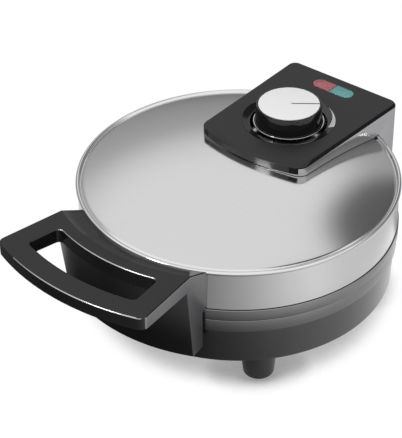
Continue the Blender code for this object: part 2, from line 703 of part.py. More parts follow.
def lid_ring(look, axis):
    low, top = PARTING + PARTING_GAP / 2, SKIRT_FOOT - GAP
    reach = SKIRT_FOOT + UPSTAND_HEIGHT
    outside_low = skirt_outside(SKIRT_FOOT) - SHEET - GAP
    outside_top = skirt_outside(reach) - SHEET - GAP
    inside = outside_top - UPSTAND_WALL
    profile = [(LID_RING_RADIUS, low), (LID_RING_RADIUS, top), (outside_low, top), (outside_top, reach),
               (inside, reach), (inside, PARTING + RING_LEDGE), (LEDGE_RADIUS, PARTING + RING_LEDGE),
               (LEDGE_RADIUS, low)]
    ring = finish("lid_ring", turned(profile), look, axis)
    holes = [handle_screw_hole(side) for side in (-1, 1)] + [arm_screw_hole(side) for side in (-1, 1)]
    return cut(ring, joined(holes))


def handle_screw_turn(side):
    """Turns +Z to the radial direction of one of the handle's screws."""
    spin = Matrix.Rotation(math.radians(side * HANDLE_BOSS_BEARING), 3, "Z")
    return spin @ Matrix.Rotation(math.radians(90), 3, "X")


def handle_screw_hole(side):
    seat = UPSTAND_INSIDE - CUT_PAST
    hole = rod(HANDLE_SCREW_RADIUS + GAP, seat, HANDLE_SCREW_END + GAP, SCREW_STEPS)
    return laid(hole, handle_screw_turn(side), (0, 0, SKIRT_FOOT + HANDLE_SCREW_RISE))


def arm_screw_hole(side):
    hole = rod(ARM_SCREW_RADIUS + GAP, ARM_SCREW_SEAT - CUT_PAST, ARM_SCREW_END + GAP, SCREW_STEPS)
    return laid(hole, ALONG_Y, (side * ARM_SCREW_SPREAD, 0, ARM_SCREW_Z))


def side_meets(radius, rear_half):
    """Where the handle's flared side line meets a circle round the axis, for a half width at its rear."""
    slope = math.tan(math.radians(HANDLE_FLARE))
    shift = rear_half - slope * HANDLE_REAR_REACH
    a, b, c = 1 + slope ** 2, 2 * slope * shift, shift ** 2 - radius ** 2
    forward = (-b + math.sqrt(b * b - 4 * a * c)) / (2 * a)
    return shift + slope * forward, -forward


def handle_band(rear_radius, front_radius, rear_half, rounding):
    """An outline between two arcs round the casing axis and two flared sides, with round corners."""
    fx, fy = side_meets(front_radius, rear_half)
    rx, ry = side_meets(rear_radius, rear_half)
    front_angle = math.degrees(math.atan2(fy, fx))
    rear_angle = math.degrees(math.atan2(ry, rx))
    front = arc(front_radius, front_angle, -180 - front_angle, HANDLE_ARC_STEPS)
    rear = arc(rear_radius, -180 - rear_angle, rear_angle, HANDLE_ARC_STEPS)
    front_radii = [rounding[0]] + [0] * (len(front) - 2) + [rounding[0]]
    rear_radii = [rounding[1]] + [0] * (len(rear) - 2) + [rounding[1]]
    return rounded(front + rear, front_radii + rear_radii)


def front_handle(look, axis):
    """The handle, its collar against the lid's rim and the hollow shield below, moulded as one."""
    start = SKIRT_TOP_RADIUS - 2 * CUT_PAST
    top = handle_band(start, HANDLE_REACH, HANDLE_REAR_HALF, (HANDLE_CORNER_ROUND, 0))
    low = handle_band(start, HANDLE_REACH, HANDLE_REAR_HALF - SHIELD_DRAFT, (HANDLE_CORNER_ROUND, 0))
    handle = finish("front_handle", prism(low, SHIELD_FOOT, HANDLE_FRONT_TOP, top), look, axis)
    # the space in front of the shield and under the grip
    beyond = HANDLE_REACH + HANDLE_BAR
    under_rear = HANDLE_TOP - HANDLE_REAR_THICKNESS
    under_front = HANDLE_FRONT_TOP - HANDLE_FRONT_THICKNESS
    slope = (under_front - under_rear) / (HANDLE_REACH - SHIELD_TOP_RADIUS)
    lean = SHIELD_LEAN / (under_rear - SHIELD_FOOT)
    space = [(SHIELD_TOP_RADIUS, under_rear), (SHIELD_FOOT_RADIUS - lean * CUT_PAST, SHIELD_FOOT - CUT_PAST),
             (beyond, SHIELD_FOOT - CUT_PAST), (beyond, under_rear + slope * (beyond - SHIELD_TOP_RADIUS))]
    cut(handle, turned(space, HANDLE_ARC_STEPS * 2, start=-135, sweep=90))
    # the top: it rises to the front from the crease, and the collar slopes from the crease down to the rim
    fall = COLLAR_DROP / COLLAR_WIDTH
    above = HANDLE_FRONT_TOP + CUT_PAST
    inner, outer = BEAD_RADIUS - COLLAR_WIDTH, HANDLE_REACH + CUT_PAST
    slant = [(CREASE_RADIUS, HANDLE_TOP), (inner, HANDLE_TOP - fall * (CREASE_RADIUS - inner)), (inner, above),
             (outer, above), (outer, HANDLE_TOP + HANDLE_LIFT / HANDLE_LENGTH * (outer - CREASE_RADIUS))]
    cut(handle, turned(slant, HANDLE_ARC_STEPS * 2, start=-135, sweep=90))
    cut(handle, casing_envelope(GAP, SHIELD_INSIDE))
    # the hollow behind the shield
    wall = SHIELD_WALL
    ceiling = under_rear
    low_inner = SHIELD_FOOT + wall
    hollow = [(SKIRT_TOP_RADIUS - CUT_PAST, low_inner), (SHIELD_FOOT_RADIUS - wall, low_inner),
              (SHIELD_TOP_RADIUS - wall, ceiling), (SKIRT_TOP_RADIUS - CUT_PAST, ceiling)]
    inner_x, inner_y = side_meets(SHIELD_FOOT_RADIUS, HANDLE_REAR_HALF - SHIELD_DRAFT - wall)
    half_span = math.degrees(math.atan2(inner_x, -inner_y))
    cut(handle, turned(hollow, HANDLE_ARC_STEPS, start=-90 - half_span, sweep=2 * half_span))
    bosses = []
    boss_end = SHIELD_TOP_RADIUS - lean * (under_rear - SKIRT_FOOT) - wall
    for side in (-1, 1):
        boss = rod(HANDLE_BOSS_RADIUS, SKIRT_RADIUS + GAP, boss_end, SCREW_STEPS)
        bosses.append(laid(boss, handle_screw_turn(side), (0, 0, SKIRT_FOOT + HANDLE_SCREW_RISE)))
    add(handle, joined(bosses))
    cut(handle, joined([handle_screw_hole(side) for side in (-1, 1)]))
    # the opening for the hand
    rounding = (OPENING_ROUND, OPENING_ROUND)
    opening = handle_band(OPENING_REAR, OPENING_FRONT, HANDLE_REAR_HALF - HANDLE_ARM, rounding)
    cut(handle, prism(opening, under_rear - HANDLE_BAR, above))
    return handle


def pod_plan(inset, setback, bulge):
    """The pod in plan: sides that spread a little and are drawn in by an inset, and a bulging front edge."""
    half = POD_FRONT_HALF - inset
    radius = (half ** 2 + bulge ** 2) / (2 * bulge)
    middle = POD_REAR - POD_LENGTH + setback + radius
    reach = math.degrees(math.asin(half / radius))
    front = arc(radius, -90 - reach, -90 + reach, POD_BULGE_STEPS, (0, middle))
    rear_y, rear_half = POD_REAR - inset, POD_REAR_HALF - inset
    front_round, rear_round = POD_FRONT_ROUND - inset, POD_REAR_ROUND - inset
    radii = [front_round] + [0] * (len(front) - 2) + [front_round, rear_round, rear_round]
    return rounded(front + [(rear_half, rear_y), (-rear_half, rear_y)], radii)


def front_radius(inset=0):
    """The radius of the pod's front edge, less an inset."""
    return (POD_FRONT_HALF ** 2 + POD_BULGE ** 2) / (2 * POD_BULGE) - inset


def pod_outline(inset=0):
    """The pod's wall in plan, drawn in evenly."""
    radius = front_radius(inset)
    return pod_plan(inset, inset, radius - math.sqrt(radius ** 2 - (POD_FRONT_HALF - inset) ** 2))


def lip_band(spare=0):
    """The strip of the front wall, from ahead of it to its inside, where the fascia's lip hangs down."""
    half, radius = FASCIA_LIP_HALF + spare, front_radius(2 * POD_WALL + spare)
    reach = math.degrees(math.asin(half / radius))
    front = POD_REAR - POD_LENGTH
    inside = arc(radius, -90 + reach, -90 - reach, POD_BULGE_STEPS, (0, front + front_radius()))
    return [(-half, front - CUT_PAST), (half, front - CUT_PAST)] + inside


def control_housing(look, axis):
    low = SKIRT_FOOT + POD_FOOT_RISE
    housing = finish("control_housing", prism(pod_outline(), low, FASCIA_SEAM - GAP), look, axis)
    cut(housing, prism(pod_outline(POD_WALL), low - CUT_PAST, FASCIA_SEAM + CUT_PAST))
    cut(housing, prism(lip_band(GAP), FASCIA_FOOT - GAP, FASCIA_SEAM + CUT_PAST))
    return cut(housing, casing_envelope(GAP, LID_RING_RADIUS + GAP))


def beside_fascia():
    """All that is outside the fascia below its seam: the side and rear walls and what lies beyond them."""
    under = FASCIA_FOOT - CUT_PAST
    side, front, rear = POD_REAR_HALF + CUT_PAST, POD_REAR - POD_LENGTH - CUT_PAST, POD_REAR + CUT_PAST
    box = [(-side, front), (side, front), (side, rear), (-side, rear)]
    outside = finish("outside", prism(box, under, FASCIA_SEAM), None)
    cut(outside, prism(pod_outline(POD_WALL + GAP), under - CUT_PAST, FASCIA_TOP))
    return cut(outside, prism(lip_band(), under - CUT_PAST, FASCIA_TOP))


def control_fascia(look, axis):
    """The black top plate: a lip over the front wall, a rim in the others, a dish and a lamp window."""
    outside = pod_outline()
    plate_top = pod_plan(FASCIA_EDGE, FASCIA_BEVEL_WIDTH, FASCIA_TOP_BULGE)
    solid = loft([(outside, FASCIA_FOOT), (outside, FASCIA_SHOULDER), (plate_top, FASCIA_TOP)])
    fascia = finish("control_fascia", solid, look, axis)
    cut(fascia, prism(pod_outline(2 * POD_WALL), FASCIA_FOOT - CUT_PAST, FASCIA_UNDERSIDE))
    cut(fascia, beside_fascia())
    dial = (0, DIAL_Y)
    dish = [(0, DISH_FLOOR), (DISH_FLOOR_RADIUS, DISH_FLOOR), (DISH_RADIUS, FASCIA_TOP),
            (DISH_RADIUS + CUT_PAST, FASCIA_TOP + CUT_PAST), (0, FASCIA_TOP + CUT_PAST)]
    cut(fascia, turned(dish, KNOB_BODY_STEPS, centre=dial))
    cut(fascia, rod(DIAL_HOLE, FASCIA_UNDERSIDE - CUT_PAST, FASCIA_TOP, centre=dial))
    cut(fascia, prism(stadium(LAMP_LENGTH, LAMP_WIDTH, (0, LAMP_Y)), FASCIA_UNDERSIDE - CUT_PAST,
                      FASCIA_TOP + CUT_PAST))
    posts, holes = [], []
    for side in (-1, 1):
        at = (side * FASCIA_POST_SPREAD, POD_REAR - FASCIA_POST_SETBACK)
        foot_height = dome_height(math.hypot(*at) - FASCIA_POST_RADIUS) + GAP
        posts.append(rod(FASCIA_POST_RADIUS, foot_height, FASCIA_UNDERSIDE + FASCIA_LIP / 4, SCREW_STEPS, at))
        hole_top = foot_height + FASCIA_SCREW_BITE + GAP
        holes.append(rod(FASCIA_SCREW_RADIUS + GAP, foot_height - CUT_PAST, hole_top, SCREW_STEPS, at))
    add(fascia, joined(posts))
    return cut(fascia, joined(holes))


def half_stadium(side):
    """One half of the lamp window, less a clearance, as an outline."""
    radius = LAMP_WIDTH / 2 - GAP
    straight = (LAMP_LENGTH - LAMP_WIDTH) / 2
    end = arc(radius, -90, 90, 8, (straight, LAMP_Y))
    outline = [(GAP / 2, LAMP_Y - radius)] + end + [(GAP / 2, LAMP_Y + radius)]
    return outline if side > 0 else [(-x, y) for x, y in reversed(outline)]


def lamp_holder(look, axis):
    """A moulded tray under the window, with a pocket for each glow lamp."""
    half = LAMP_LENGTH / 2 + LAMP_CASE_MARGIN
    deep = LAMP_WIDTH / 2 + LAMP_CASE_MARGIN
    top = FASCIA_UNDERSIDE - GAP
    box = [(-half, LAMP_Y - deep), (half, LAMP_Y - deep), (half, LAMP_Y + deep), (-half, LAMP_Y + deep)]
    holder = finish("lamp_holder", prism(box, top - LAMP_CASE_DEPTH, top), look, axis)
    pockets = []
    for side in (-1, 1):
        inner, outer = side * LAMP_CASE_MARGIN / 2, side * (half - LAMP_CASE_MARGIN)
        x0, x1 = sorted((inner, outer))
        wide = deep - LAMP_CASE_MARGIN
        pocket = [(x0, LAMP_Y - wide), (x1, LAMP_Y - wide), (x1, LAMP_Y + wide), (x0, LAMP_Y + wide)]
        pockets.append(prism(pocket, top - LAMP_POCKET_DEPTH, top + CUT_PAST))
    return cut(holder, joined(pockets))


def glow_lamp(name, side, look, axis):
    low = FASCIA_UNDERSIDE - GAP - LAMP_POCKET_DEPTH + GAP + NEON_RADIUS
    start = LAMP_CASE_MARGIN / 2 + NEON_INSET
    end = LAMP_LENGTH / 2 - NEON_INSET
    body = laid(rod(NEON_RADIUS, start, end, SCREW_STEPS), ALONG_X, (0, LAMP_Y, low))
    if side < 0:
        bmesh.ops.transform(body, matrix=Matrix.Diagonal((-1, 1, 1, 1)), verts=body.verts)
        bmesh.ops.reverse_faces(body, faces=body.faces)
    return finish(name, body, look, axis)


def hinge_arm(look, axis):
    """The knuckle between the base's ears, screwed to the lid ring's rear."""
    barrel = laid(rod(HINGE_BARREL_RADIUS, -HINGE_ARM_HALF, HINGE_ARM_HALF), ALONG_X, (0, HINGE_Y, HINGE_Z))
    arm = finish("hinge_arm", barrel, look, axis)
    front = LID_RING_RADIUS - HINGE_BARREL_RADIUS
    half = HINGE_ARM_HALF
    block = [(-half, front), (half, front), (half, HINGE_Y), (-half, HINGE_Y)]
    add(arm, prism(block, PARTING + GAP, SKIRT_FOOT - GAP))
    keep_out = rod(LID_RING_RADIUS + GAP, PARTING - CUT_PAST, SKIRT_FOOT + HINGE_BARREL_RADIUS, ROUND_STEPS)
    cut(arm, keep_out)
    cut(arm, laid(rod(HINGE_PIN_RADIUS + GAP, -HINGE_ARM_HALF - CUT_PAST, HINGE_ARM_HALF + CUT_PAST), ALONG_X,
                  (0, HINGE_Y, HINGE_Z)))
    return cut(arm, joined([arm_screw_hole(side) for side in (-1, 1)]))


# Dial
def thermostat(look, axis):
    """The switch body on the upper reflector, with a bush that stands through the cover."""
    low = THERMOSTAT_FOOT
    top = low + THERMOSTAT_HEIGHT
    bush_top = FASCIA_UNDERSIDE - GAP
    bore = SHAFT_RADIUS + GAP
    bore_floor = top - SHAFT_ENGAGEMENT - GAP
    profile = [(0, low), (THERMOSTAT_RADIUS, low), (THERMOSTAT_RADIUS, top), (BUSH_RADIUS, top),
               (BUSH_RADIUS, bush_top), (bore, bush_top), (bore, bore_floor), (0, bore_floor)]
    return finish("thermostat", turned(profile, 24, centre=(0, DIAL_Y)), look, axis)


def dial_shaft(look, axis):
    low = THERMOSTAT_FOOT + THERMOSTAT_HEIGHT - SHAFT_ENGAGEMENT
    shaft = rod(SHAFT_RADIUS, low, KNOB_FOOT + SHAFT_GRIP, centre=(0, DIAL_Y))
    return finish("dial_shaft", shaft, look, axis)


def dial_knob(look, axis):
    seat = KNOB_TOP - CAP_THICKNESS + CAP_PROUD - GAP
    bore = SHAFT_RADIUS + GAP
    trim_seat = KNOB_FOOT + TRIM_HEIGHT + GAP
    profile = [(bore, KNOB_FOOT), (KNOB_FOOT_RADIUS, KNOB_FOOT), (KNOB_FOOT_RADIUS, trim_seat),
               (KNOB_RADIUS, trim_seat + TRIM_HEIGHT), (KNOB_RADIUS, KNOB_TOP - GAP),
               (KNOB_RADIUS - GAP, KNOB_TOP), (CAP_RADIUS + GAP, KNOB_TOP), (CAP_RADIUS + GAP, seat),
               (0, seat), (0, KNOB_FOOT + SHAFT_GRIP + GAP), (bore, KNOB_FOOT + SHAFT_GRIP + GAP)]
    return finish("dial_knob", turned(profile, KNOB_BODY_STEPS, centre=(0, DIAL_Y)), look, axis)


def dial_trim(look, axis):
    inner = KNOB_FOOT_RADIUS + GAP
    edge = (TRIM_RADIUS - inner) / 3
    profile = [(inner, KNOB_FOOT), (TRIM_RADIUS, KNOB_FOOT), (TRIM_RADIUS, KNOB_FOOT + TRIM_HEIGHT / 2),
               (TRIM_RADIUS - edge, KNOB_FOOT + TRIM_HEIGHT), (inner, KNOB_FOOT + TRIM_HEIGHT)]
    return finish("dial_trim", turned(profile, KNOB_BODY_STEPS, centre=(0, DIAL_Y)), look, axis)


def dial_cap(look, axis):
    """The bright disc on the knob, with a fine groove that points to the setting."""
    top = KNOB_TOP + CAP_PROUD
    disc = rod(CAP_RADIUS, top - CAP_THICKNESS, top, KNOB_BODY_STEPS, (0, DIAL_Y))
    cap = finish("dial_cap", disc, look, axis)
    half = POINTER_WIDTH / 2
    groove = [(POINTER_START, -half), (CAP_RADIUS + CUT_PAST, -half), (CAP_RADIUS + CUT_PAST, half),
              (POINTER_START, half)]
    mark = laid(prism(groove, top - POINTER_DEPTH, top + CUT_PAST),
                Matrix.Rotation(math.radians(POINTER_BEARING), 3, "Z"), (0, DIAL_Y, 0))
    return cut(cap, mark)


# Places worked out from the sizes above
POST_SPREAD = (CAVITY_RADIUS + GRID_WALL + FLANGE_RADIUS) / 2
FOOT_BEARINGS = (FOOT_BEARING, 180 - FOOT_BEARING, 180 + FOOT_BEARING, -FOOT_BEARING)
FOOT_NAMES = ("foot_front_right", "foot_rear_right", "foot_rear_left", "foot_front_left")
REFLECTOR_BACK = PARTING + CAVITY_DEPTH + GRID_FLOOR + GRID_POST_HEIGHT + GAP + REFLECTOR_SHEET
THERMOSTAT_FOOT = REFLECTOR_BACK + GAP
UPSTAND_INSIDE = skirt_outside(SKIRT_FOOT + UPSTAND_HEIGHT) - SHEET - GAP - UPSTAND_WALL
HANDLE_SCREW_SEAT = UPSTAND_INSIDE * math.cos(math.asin(HANDLE_SCREW_HEAD / UPSTAND_INSIDE)) - GAP
HANDLE_SCREW_END = SKIRT_RADIUS + GAP + HANDLE_SCREW_BITE
ARM_SCREW_SEAT = math.sqrt(UPSTAND_INSIDE ** 2 - (ARM_SCREW_SPREAD + ARM_SCREW_HEAD) ** 2) - GAP
ARM_SCREW_END = HINGE_Y - HINGE_PIN_RADIUS - ARM_SCREW_SHORTFALL
ARM_SCREW_Z = PARTING + RING_LEDGE + ARM_SCREW_HEAD + GAP
axis_place = {"lid_hinge_axis": CASING_AXIS + Vector((0, HINGE_Y, HINGE_Z)),
              "dial_axis": CASING_AXIS + Vector((0, DIAL_Y, KNOB_FOOT))}


def empty(name, parent=None):
    """An unseen marker on a joint's axis, which the moving pieces hang from."""
    marker = bpy.data.objects.new(name, None)
    bpy.context.scene.collection.objects.link(marker)
    marker.location = axis_place[name]
    if parent:
        marker.parent = parent
        marker.location = axis_place[name] - axis_place[parent.name]
    return marker


def build():
    for thing in list(bpy.data.objects):
        bpy.data.objects.remove(thing)

    black_satin = material("black_satin_plastic", (0.022, 0.022, 0.024), 0.38)
    black_gloss = material("black_gloss_plastic", (0.012, 0.012, 0.013), 0.12)
    charcoal = material("charcoal_ring_plastic", (0.11, 0.11, 0.115), 0.34)
    grey_ring = material("grey_ring_plastic", (0.14, 0.14, 0.145), 0.34)
    steel = material("brushed_steel", (0.60, 0.60, 0.60), 0.30, 1)
    silver = material("silver_paint", (0.42, 0.42, 0.43), 0.35, 0.6)
    chrome = material("chrome", (0.75, 0.75, 0.76), 0.08, 1)
    bright = material("bright_disc", (0.80, 0.80, 0.80), 0.35, 0.4)
    cast = material("coated_cast_aluminium", (0.03, 0.03, 0.03), 0.45, 0.2)
    plate = material("aluminised_plate", (0.55, 0.55, 0.56), 0.35, 1)
    sheath = material("element_sheath", (0.16, 0.15, 0.14), 0.5, 0.8)
    zinc = material("zinc_screw", (0.52, 0.52, 0.50), 0.35, 1)
    ceramic = material("ceramic", (0.75, 0.73, 0.68), 0.6)
    rubber = material("gland_rubber", (0.02, 0.02, 0.02), 0.7)
    red = material("red_lens", (0.42, 0.05, 0.06), 0.2)
    teal = material("teal_lens", (0.10, 0.42, 0.40), 0.2)
    glow = material("glow_lamp_glass", (0.80, 0.45, 0.30), 0.1)

    hinge = empty("lid_hinge_axis")
    dial = empty("dial_axis", hinge)

    # Base, which stands still
    base_shell(black_satin)
    base_ring(grey_ring)
    grid = waffle_grid("lower_grid", False, cast)
    bite = SHELL_SCREW_BITE
    flange_foot = PARTING - RING_LEDGE - GAP - FLANGE
    cut(grid, joined([rod(SHELL_SCREW_RADIUS + GAP, flange_foot - CUT_PAST, flange_foot + bite + GAP,
                          HOLE_STEPS, round_place(POST_SPREAD, b)) for b in POST_BEARINGS]))
    heating_element("lower_heating_element", False, sheath)
    reflector("lower_reflector", False, plate)
    upright = Matrix.Identity(3)
    for name, bearing in zip(FOOT_NAMES, FOOT_BEARINGS):
        foot(name, bearing, black_satin)
        screw(name.replace("foot", "foot_screw"), FOOT_SCREW_RADIUS, FOOT_SCREW_HEAD, FOOT_SCREW_HEAD_DEPTH,
              FOOT_SCREW_LENGTH, upright, (*round_place(FOOT_SPREAD, bearing), FOOT_RECESS - GAP), zinc)
    for number, bearing in enumerate(POST_BEARINGS, 1):
        place = (*round_place(POST_SPREAD, bearing), FOOT_TOP - GAP)
        screw(f"shell_screw_{number}", SHELL_SCREW_RADIUS, SHELL_SCREW_HEAD, SHELL_SCREW_HEAD_DEPTH,
              flange_foot + bite - FOOT_TOP, upright, place, zinc)
    pin_half = EAR_OUTSIDE + PIN_STAND_OUT
    pin = laid(rod(HINGE_PIN_RADIUS, -pin_half, pin_half), ALONG_X, (0, HINGE_Y, HINGE_Z))
    finish("hinge_pin", pin, zinc)
    for side, name in ((-1, "hinge_clip_left"), (1, "hinge_clip_right")):
        bore = HINGE_PIN_RADIUS + GAP
        start, end = sorted((side * (EAR_OUTSIDE + GAP), side * (EAR_OUTSIDE + GAP + CLIP_THICKNESS)))
        profile = [(bore, start), (CLIP_RADIUS, start), (CLIP_RADIUS, end), (bore, end)]
        finish(name, laid(turned(profile, SMALL_STEPS), ALONG_X, (0, HINGE_Y, HINGE_Z)), zinc)
    cord_gland(rubber)
    terminal_block(ceramic)

    # Lid, which turns on the hinge
    lid_cover(steel, hinge)
    lid_ring(charcoal, hinge)
    waffle_grid("upper_grid", True, cast, hinge)
    heating_element("upper_heating_element", True, sheath, hinge)
    reflector("upper_reflector", True, plate, hinge)
    front_handle(black_gloss, hinge)
    control_housing(silver, hinge)
    control_fascia(black_satin, hinge)
    lens_low = FASCIA_UNDERSIDE
    finish("lens_red", prism(half_stadium(-1), lens_low, FASCIA_TOP + LENS_PROUD), red, hinge)
    finish("lens_teal", prism(half_stadium(1), lens_low, FASCIA_TOP + LENS_PROUD), teal, hinge)
    lamp_holder(ceramic, hinge)
    glow_lamp("glow_lamp_left", -1, glow, hinge)
    glow_lamp("glow_lamp_right", 1, glow, hinge)
    thermostat(plate, hinge)
    hinge_arm(black_satin, hinge)
    for side, hand in ((-1, "left"), (1, "right")):
        turn = handle_screw_turn(side)
        seat = turn @ Vector((0, 0, HANDLE_SCREW_SEAT)) + Vector((0, 0, SKIRT_FOOT + HANDLE_SCREW_RISE))
        screw(f"handle_screw_{hand}", HANDLE_SCREW_RADIUS, HANDLE_SCREW_HEAD, HANDLE_SCREW_HEAD_DEPTH,
              HANDLE_SCREW_END - HANDLE_SCREW_SEAT, turn, seat, zinc, hinge)
        screw(f"arm_screw_{hand}", ARM_SCREW_RADIUS, ARM_SCREW_HEAD, ARM_SCREW_HEAD_DEPTH,
              ARM_SCREW_END - ARM_SCREW_SEAT, ALONG_Y, (side * ARM_SCREW_SPREAD, ARM_SCREW_SEAT, ARM_SCREW_Z),
              zinc, hinge)
        x, y = side * FASCIA_POST_SPREAD, POD_REAR - FASCIA_POST_SETBACK
        post_foot = dome_height(math.hypot(x, y) - FASCIA_POST_RADIUS) + GAP
        head_seat = dome_height(math.hypot(x, y) + 2 * FASCIA_SCREW_HEAD) - SHEET - GAP
        screw(f"fascia_screw_{hand}", FASCIA_SCREW_RADIUS, FASCIA_SCREW_HEAD, FASCIA_SCREW_HEAD_DEPTH,
              post_foot + FASCIA_SCREW_BITE - head_seat, upright, (x, y, head_seat), zinc, hinge)

    # Dial, which turns on the lid
    dial_shaft(zinc, dial)
    dial_knob(black_gloss, dial)
    dial_trim(chrome, dial)
    dial_cap(bright, dial)


build()
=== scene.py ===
import math
import bmesh
import bpy
from mathutils import Matrix, Vector


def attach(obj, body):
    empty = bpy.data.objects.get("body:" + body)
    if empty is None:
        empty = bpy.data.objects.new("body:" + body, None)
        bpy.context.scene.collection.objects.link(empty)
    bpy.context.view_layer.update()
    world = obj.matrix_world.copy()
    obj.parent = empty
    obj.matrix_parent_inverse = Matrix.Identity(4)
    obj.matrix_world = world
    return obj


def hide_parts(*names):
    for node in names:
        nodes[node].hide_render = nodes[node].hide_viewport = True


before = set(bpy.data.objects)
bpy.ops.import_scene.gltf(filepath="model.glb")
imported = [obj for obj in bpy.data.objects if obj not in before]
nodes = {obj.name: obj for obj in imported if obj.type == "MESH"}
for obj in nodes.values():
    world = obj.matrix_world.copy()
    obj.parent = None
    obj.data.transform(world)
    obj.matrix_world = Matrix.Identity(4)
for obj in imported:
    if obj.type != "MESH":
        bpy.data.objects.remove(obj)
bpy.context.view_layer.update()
print("frame loaded:", len(nodes), "nodes")

# lengths are in metres, heights from the table, radii from the lid's upright axis, angles in degrees
body = {"axisY": 0.0286, "skirtFoot": 0.0714, "gap": 0.0003}
axis = Vector((0, body["axisY"], 0))
merge = 0.000004  # points closer than this are one
slack = 0.0001  # a length below this counts as none
facingFront = -90  # the handle's side, counted from +X
turnShare = 0.45  # the most of a side that a rounded corner takes


# mesh tools
def closedProfile(points, centre=axis):
    bm = bmesh.new()
    verts = [bm.verts.new((centre[0] + r, centre[1], z)) for r, z in points]
    for a, b in zip(verts, verts[1:] + verts[:1]):
        bm.edges.new((a, b))
    return bm


def cleanUp(bm):
    bmesh.ops.remove_doubles(bm, verts=bm.verts, dist=merge)
    bmesh.ops.dissolve_degenerate(bm, dist=merge, edges=bm.edges)
    bmesh.ops.recalc_face_normals(bm, faces=bm.faces)
    return bm


def spunRound(points, steps=160, centre=axis):
    bm = closedProfile(points, centre)
    bmesh.ops.spin(bm, geom=bm.verts[:] + bm.edges[:], cent=centre, axis=(0, 0, 1), dvec=(0, 0, 0),
                   angle=math.tau, steps=steps, use_merge=True)
    return cleanUp(bm)


def spunArc(points, middle, spread, steps, centre=axis):
    bm = closedProfile(points, centre)  # the middle is counted from +X
    bm.faces.new(bm.verts[:])
    turn = Matrix.Rotation(math.radians(middle - spread), 3, "Z")
    bmesh.ops.rotate(bm, verts=bm.verts[:], cent=centre, matrix=turn)
    bmesh.ops.spin(bm, geom=bm.verts[:] + bm.edges[:] + bm.faces[:], cent=centre, axis=(0, 0, 1),
                   dvec=(0, 0, 0), angle=math.radians(2 * spread), steps=steps)
    return cleanUp(bm)


def arcPoints(radius, start, end, r, z, steps):
    turns = [math.radians(start + (end - start) * i / steps) for i in range(steps + 1)]
    return [(r + radius * math.cos(t), z + radius * math.sin(t)) for t in turns]


def roundTurn(points, radius, steps=4):
    made = []  # every corner of an open profile is rounded, except its two ends
    for i, point in enumerate(points):
        if i in (0, len(points) - 1):
            made.append(tuple(point))
            continue
        here, last, following = Vector(point), Vector(points[i - 1]), Vector(points[i + 1])
        reach = min(radius, (last - here).length * turnShare, (following - here).length * turnShare)
        start = here + (last - here).normalized() * reach
        end = here + (following - here).normalized() * reach
        for k in range(steps + 1):
            t = k / steps
            made.append(tuple((1 - t) ** 2 * start + 2 * t * (1 - t) * here + t ** 2 * end))
    return made


def raised(bm, height):
    top = bmesh.ops.extrude_face_region(bm, geom=bm.faces[:])["geom"]
    verts = [item for item in top if isinstance(item, bmesh.types.BMVert)]
    bmesh.ops.translate(bm, verts=verts, vec=(0, 0, height))
    bmesh.ops.recalc_face_normals(bm, faces=bm.faces)
    return bm


def bevelSome(bm, edges, width, segments):
    bmesh.ops.bevel(bm, geom=edges, offset=width, offset_type="OFFSET", affect="EDGES", segments=segments,
                    profile=0.5, material=-1, clamp_overlap=True)
    return bm


def addObject(name, data):
    made = bpy.data.objects.new(name, data)
    bpy.context.scene.collection.objects.link(made)
    return made


def addPiece(name, bm, rides, material=None, replaces=None, smooth=35):
    data = bpy.data.meshes.new(name)
    bm.to_mesh(data)
    bm.free()
    piece = addObject(name, data)
    if material:
        data.materials.append(material)
    data.shade_smooth()
    data.set_sharp_from_angle(angle=math.radians(smooth))
    if rides:
        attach(piece, rides)
    if replaces:
        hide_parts(*replaces)
    return piece


def bakeModifiers(piece):
    bpy.context.view_layer.update()
    graph = bpy.context.evaluated_depsgraph_get()
    made = bpy.data.meshes.new_from_object(piece.evaluated_get(graph), depsgraph=graph)
    piece.modifiers.clear()
    old = piece.data
    piece.data = made
    bpy.data.meshes.remove(old)
    made.name = piece.name
    return made


def applyAll(piece, smooth=35):
    made = bakeModifiers(piece)
    made.shade_smooth()
    made.set_sharp_from_angle(angle=math.radians(smooth))


def carve(piece, bm, operation="DIFFERENCE"):
    tool = bm if isinstance(bm, bpy.types.Object) else addPiece("tool", bm, None)
    change = piece.modifiers.new("carve", "BOOLEAN")
    change.solver = "EXACT"
    change.operation = operation
    change.object = tool
    applyAll(piece)
    toolMesh = tool.data
    bpy.data.objects.remove(tool)
    bpy.data.meshes.remove(toolMesh)


def softenEdges(piece, width, segments, angle):
    soft = piece.modifiers.new("soften", "BEVEL")
    soft.width = width
    soft.segments = segments
    soft.limit_method = "ANGLE"
    soft.angle_limit = math.radians(angle)
    soft.harden_normals = False
    applyAll(piece)


# shader groups
def newGroup(name, inputs, outputs):
    group = bpy.data.node_groups.new(name, "ShaderNodeTree")
    for label, kind, value in inputs:
        socket = group.interface.new_socket(label, in_out="INPUT", socket_type=kind)
        if value is not None:
            socket.default_value = value
    for label, kind in outputs:
        group.interface.new_socket(label, in_out="OUTPUT", socket_type=kind)
    return group, group.nodes.new("NodeGroupInput"), group.nodes.new("NodeGroupOutput")


def addNode(tree, kind, **settings):
    node = tree.nodes.new(kind)
    for label, value in settings.items():
        setattr(node, label, value)
    return node


def feed(tree, socket, value):
    if isinstance(value, bpy.types.NodeSocket):
        tree.links.new(value, socket)
    else:
        socket.default_value = value


def mathStep(tree, operation, *values):
    step = addNode(tree, "ShaderNodeMath", operation=operation)
    for socket, value in zip(step.inputs, values):
        feed(tree, socket, value)
    return step.outputs[0]


def mixStep(tree, factor, first, second, kind="FLOAT"):
    mix = addNode(tree, "ShaderNodeMix", data_type=kind)
    for label, value in (("Factor", factor), ("A", first), ("B", second)):
        feed(tree, mix.inputs[label], value)
    return mix.outputs["Result"]


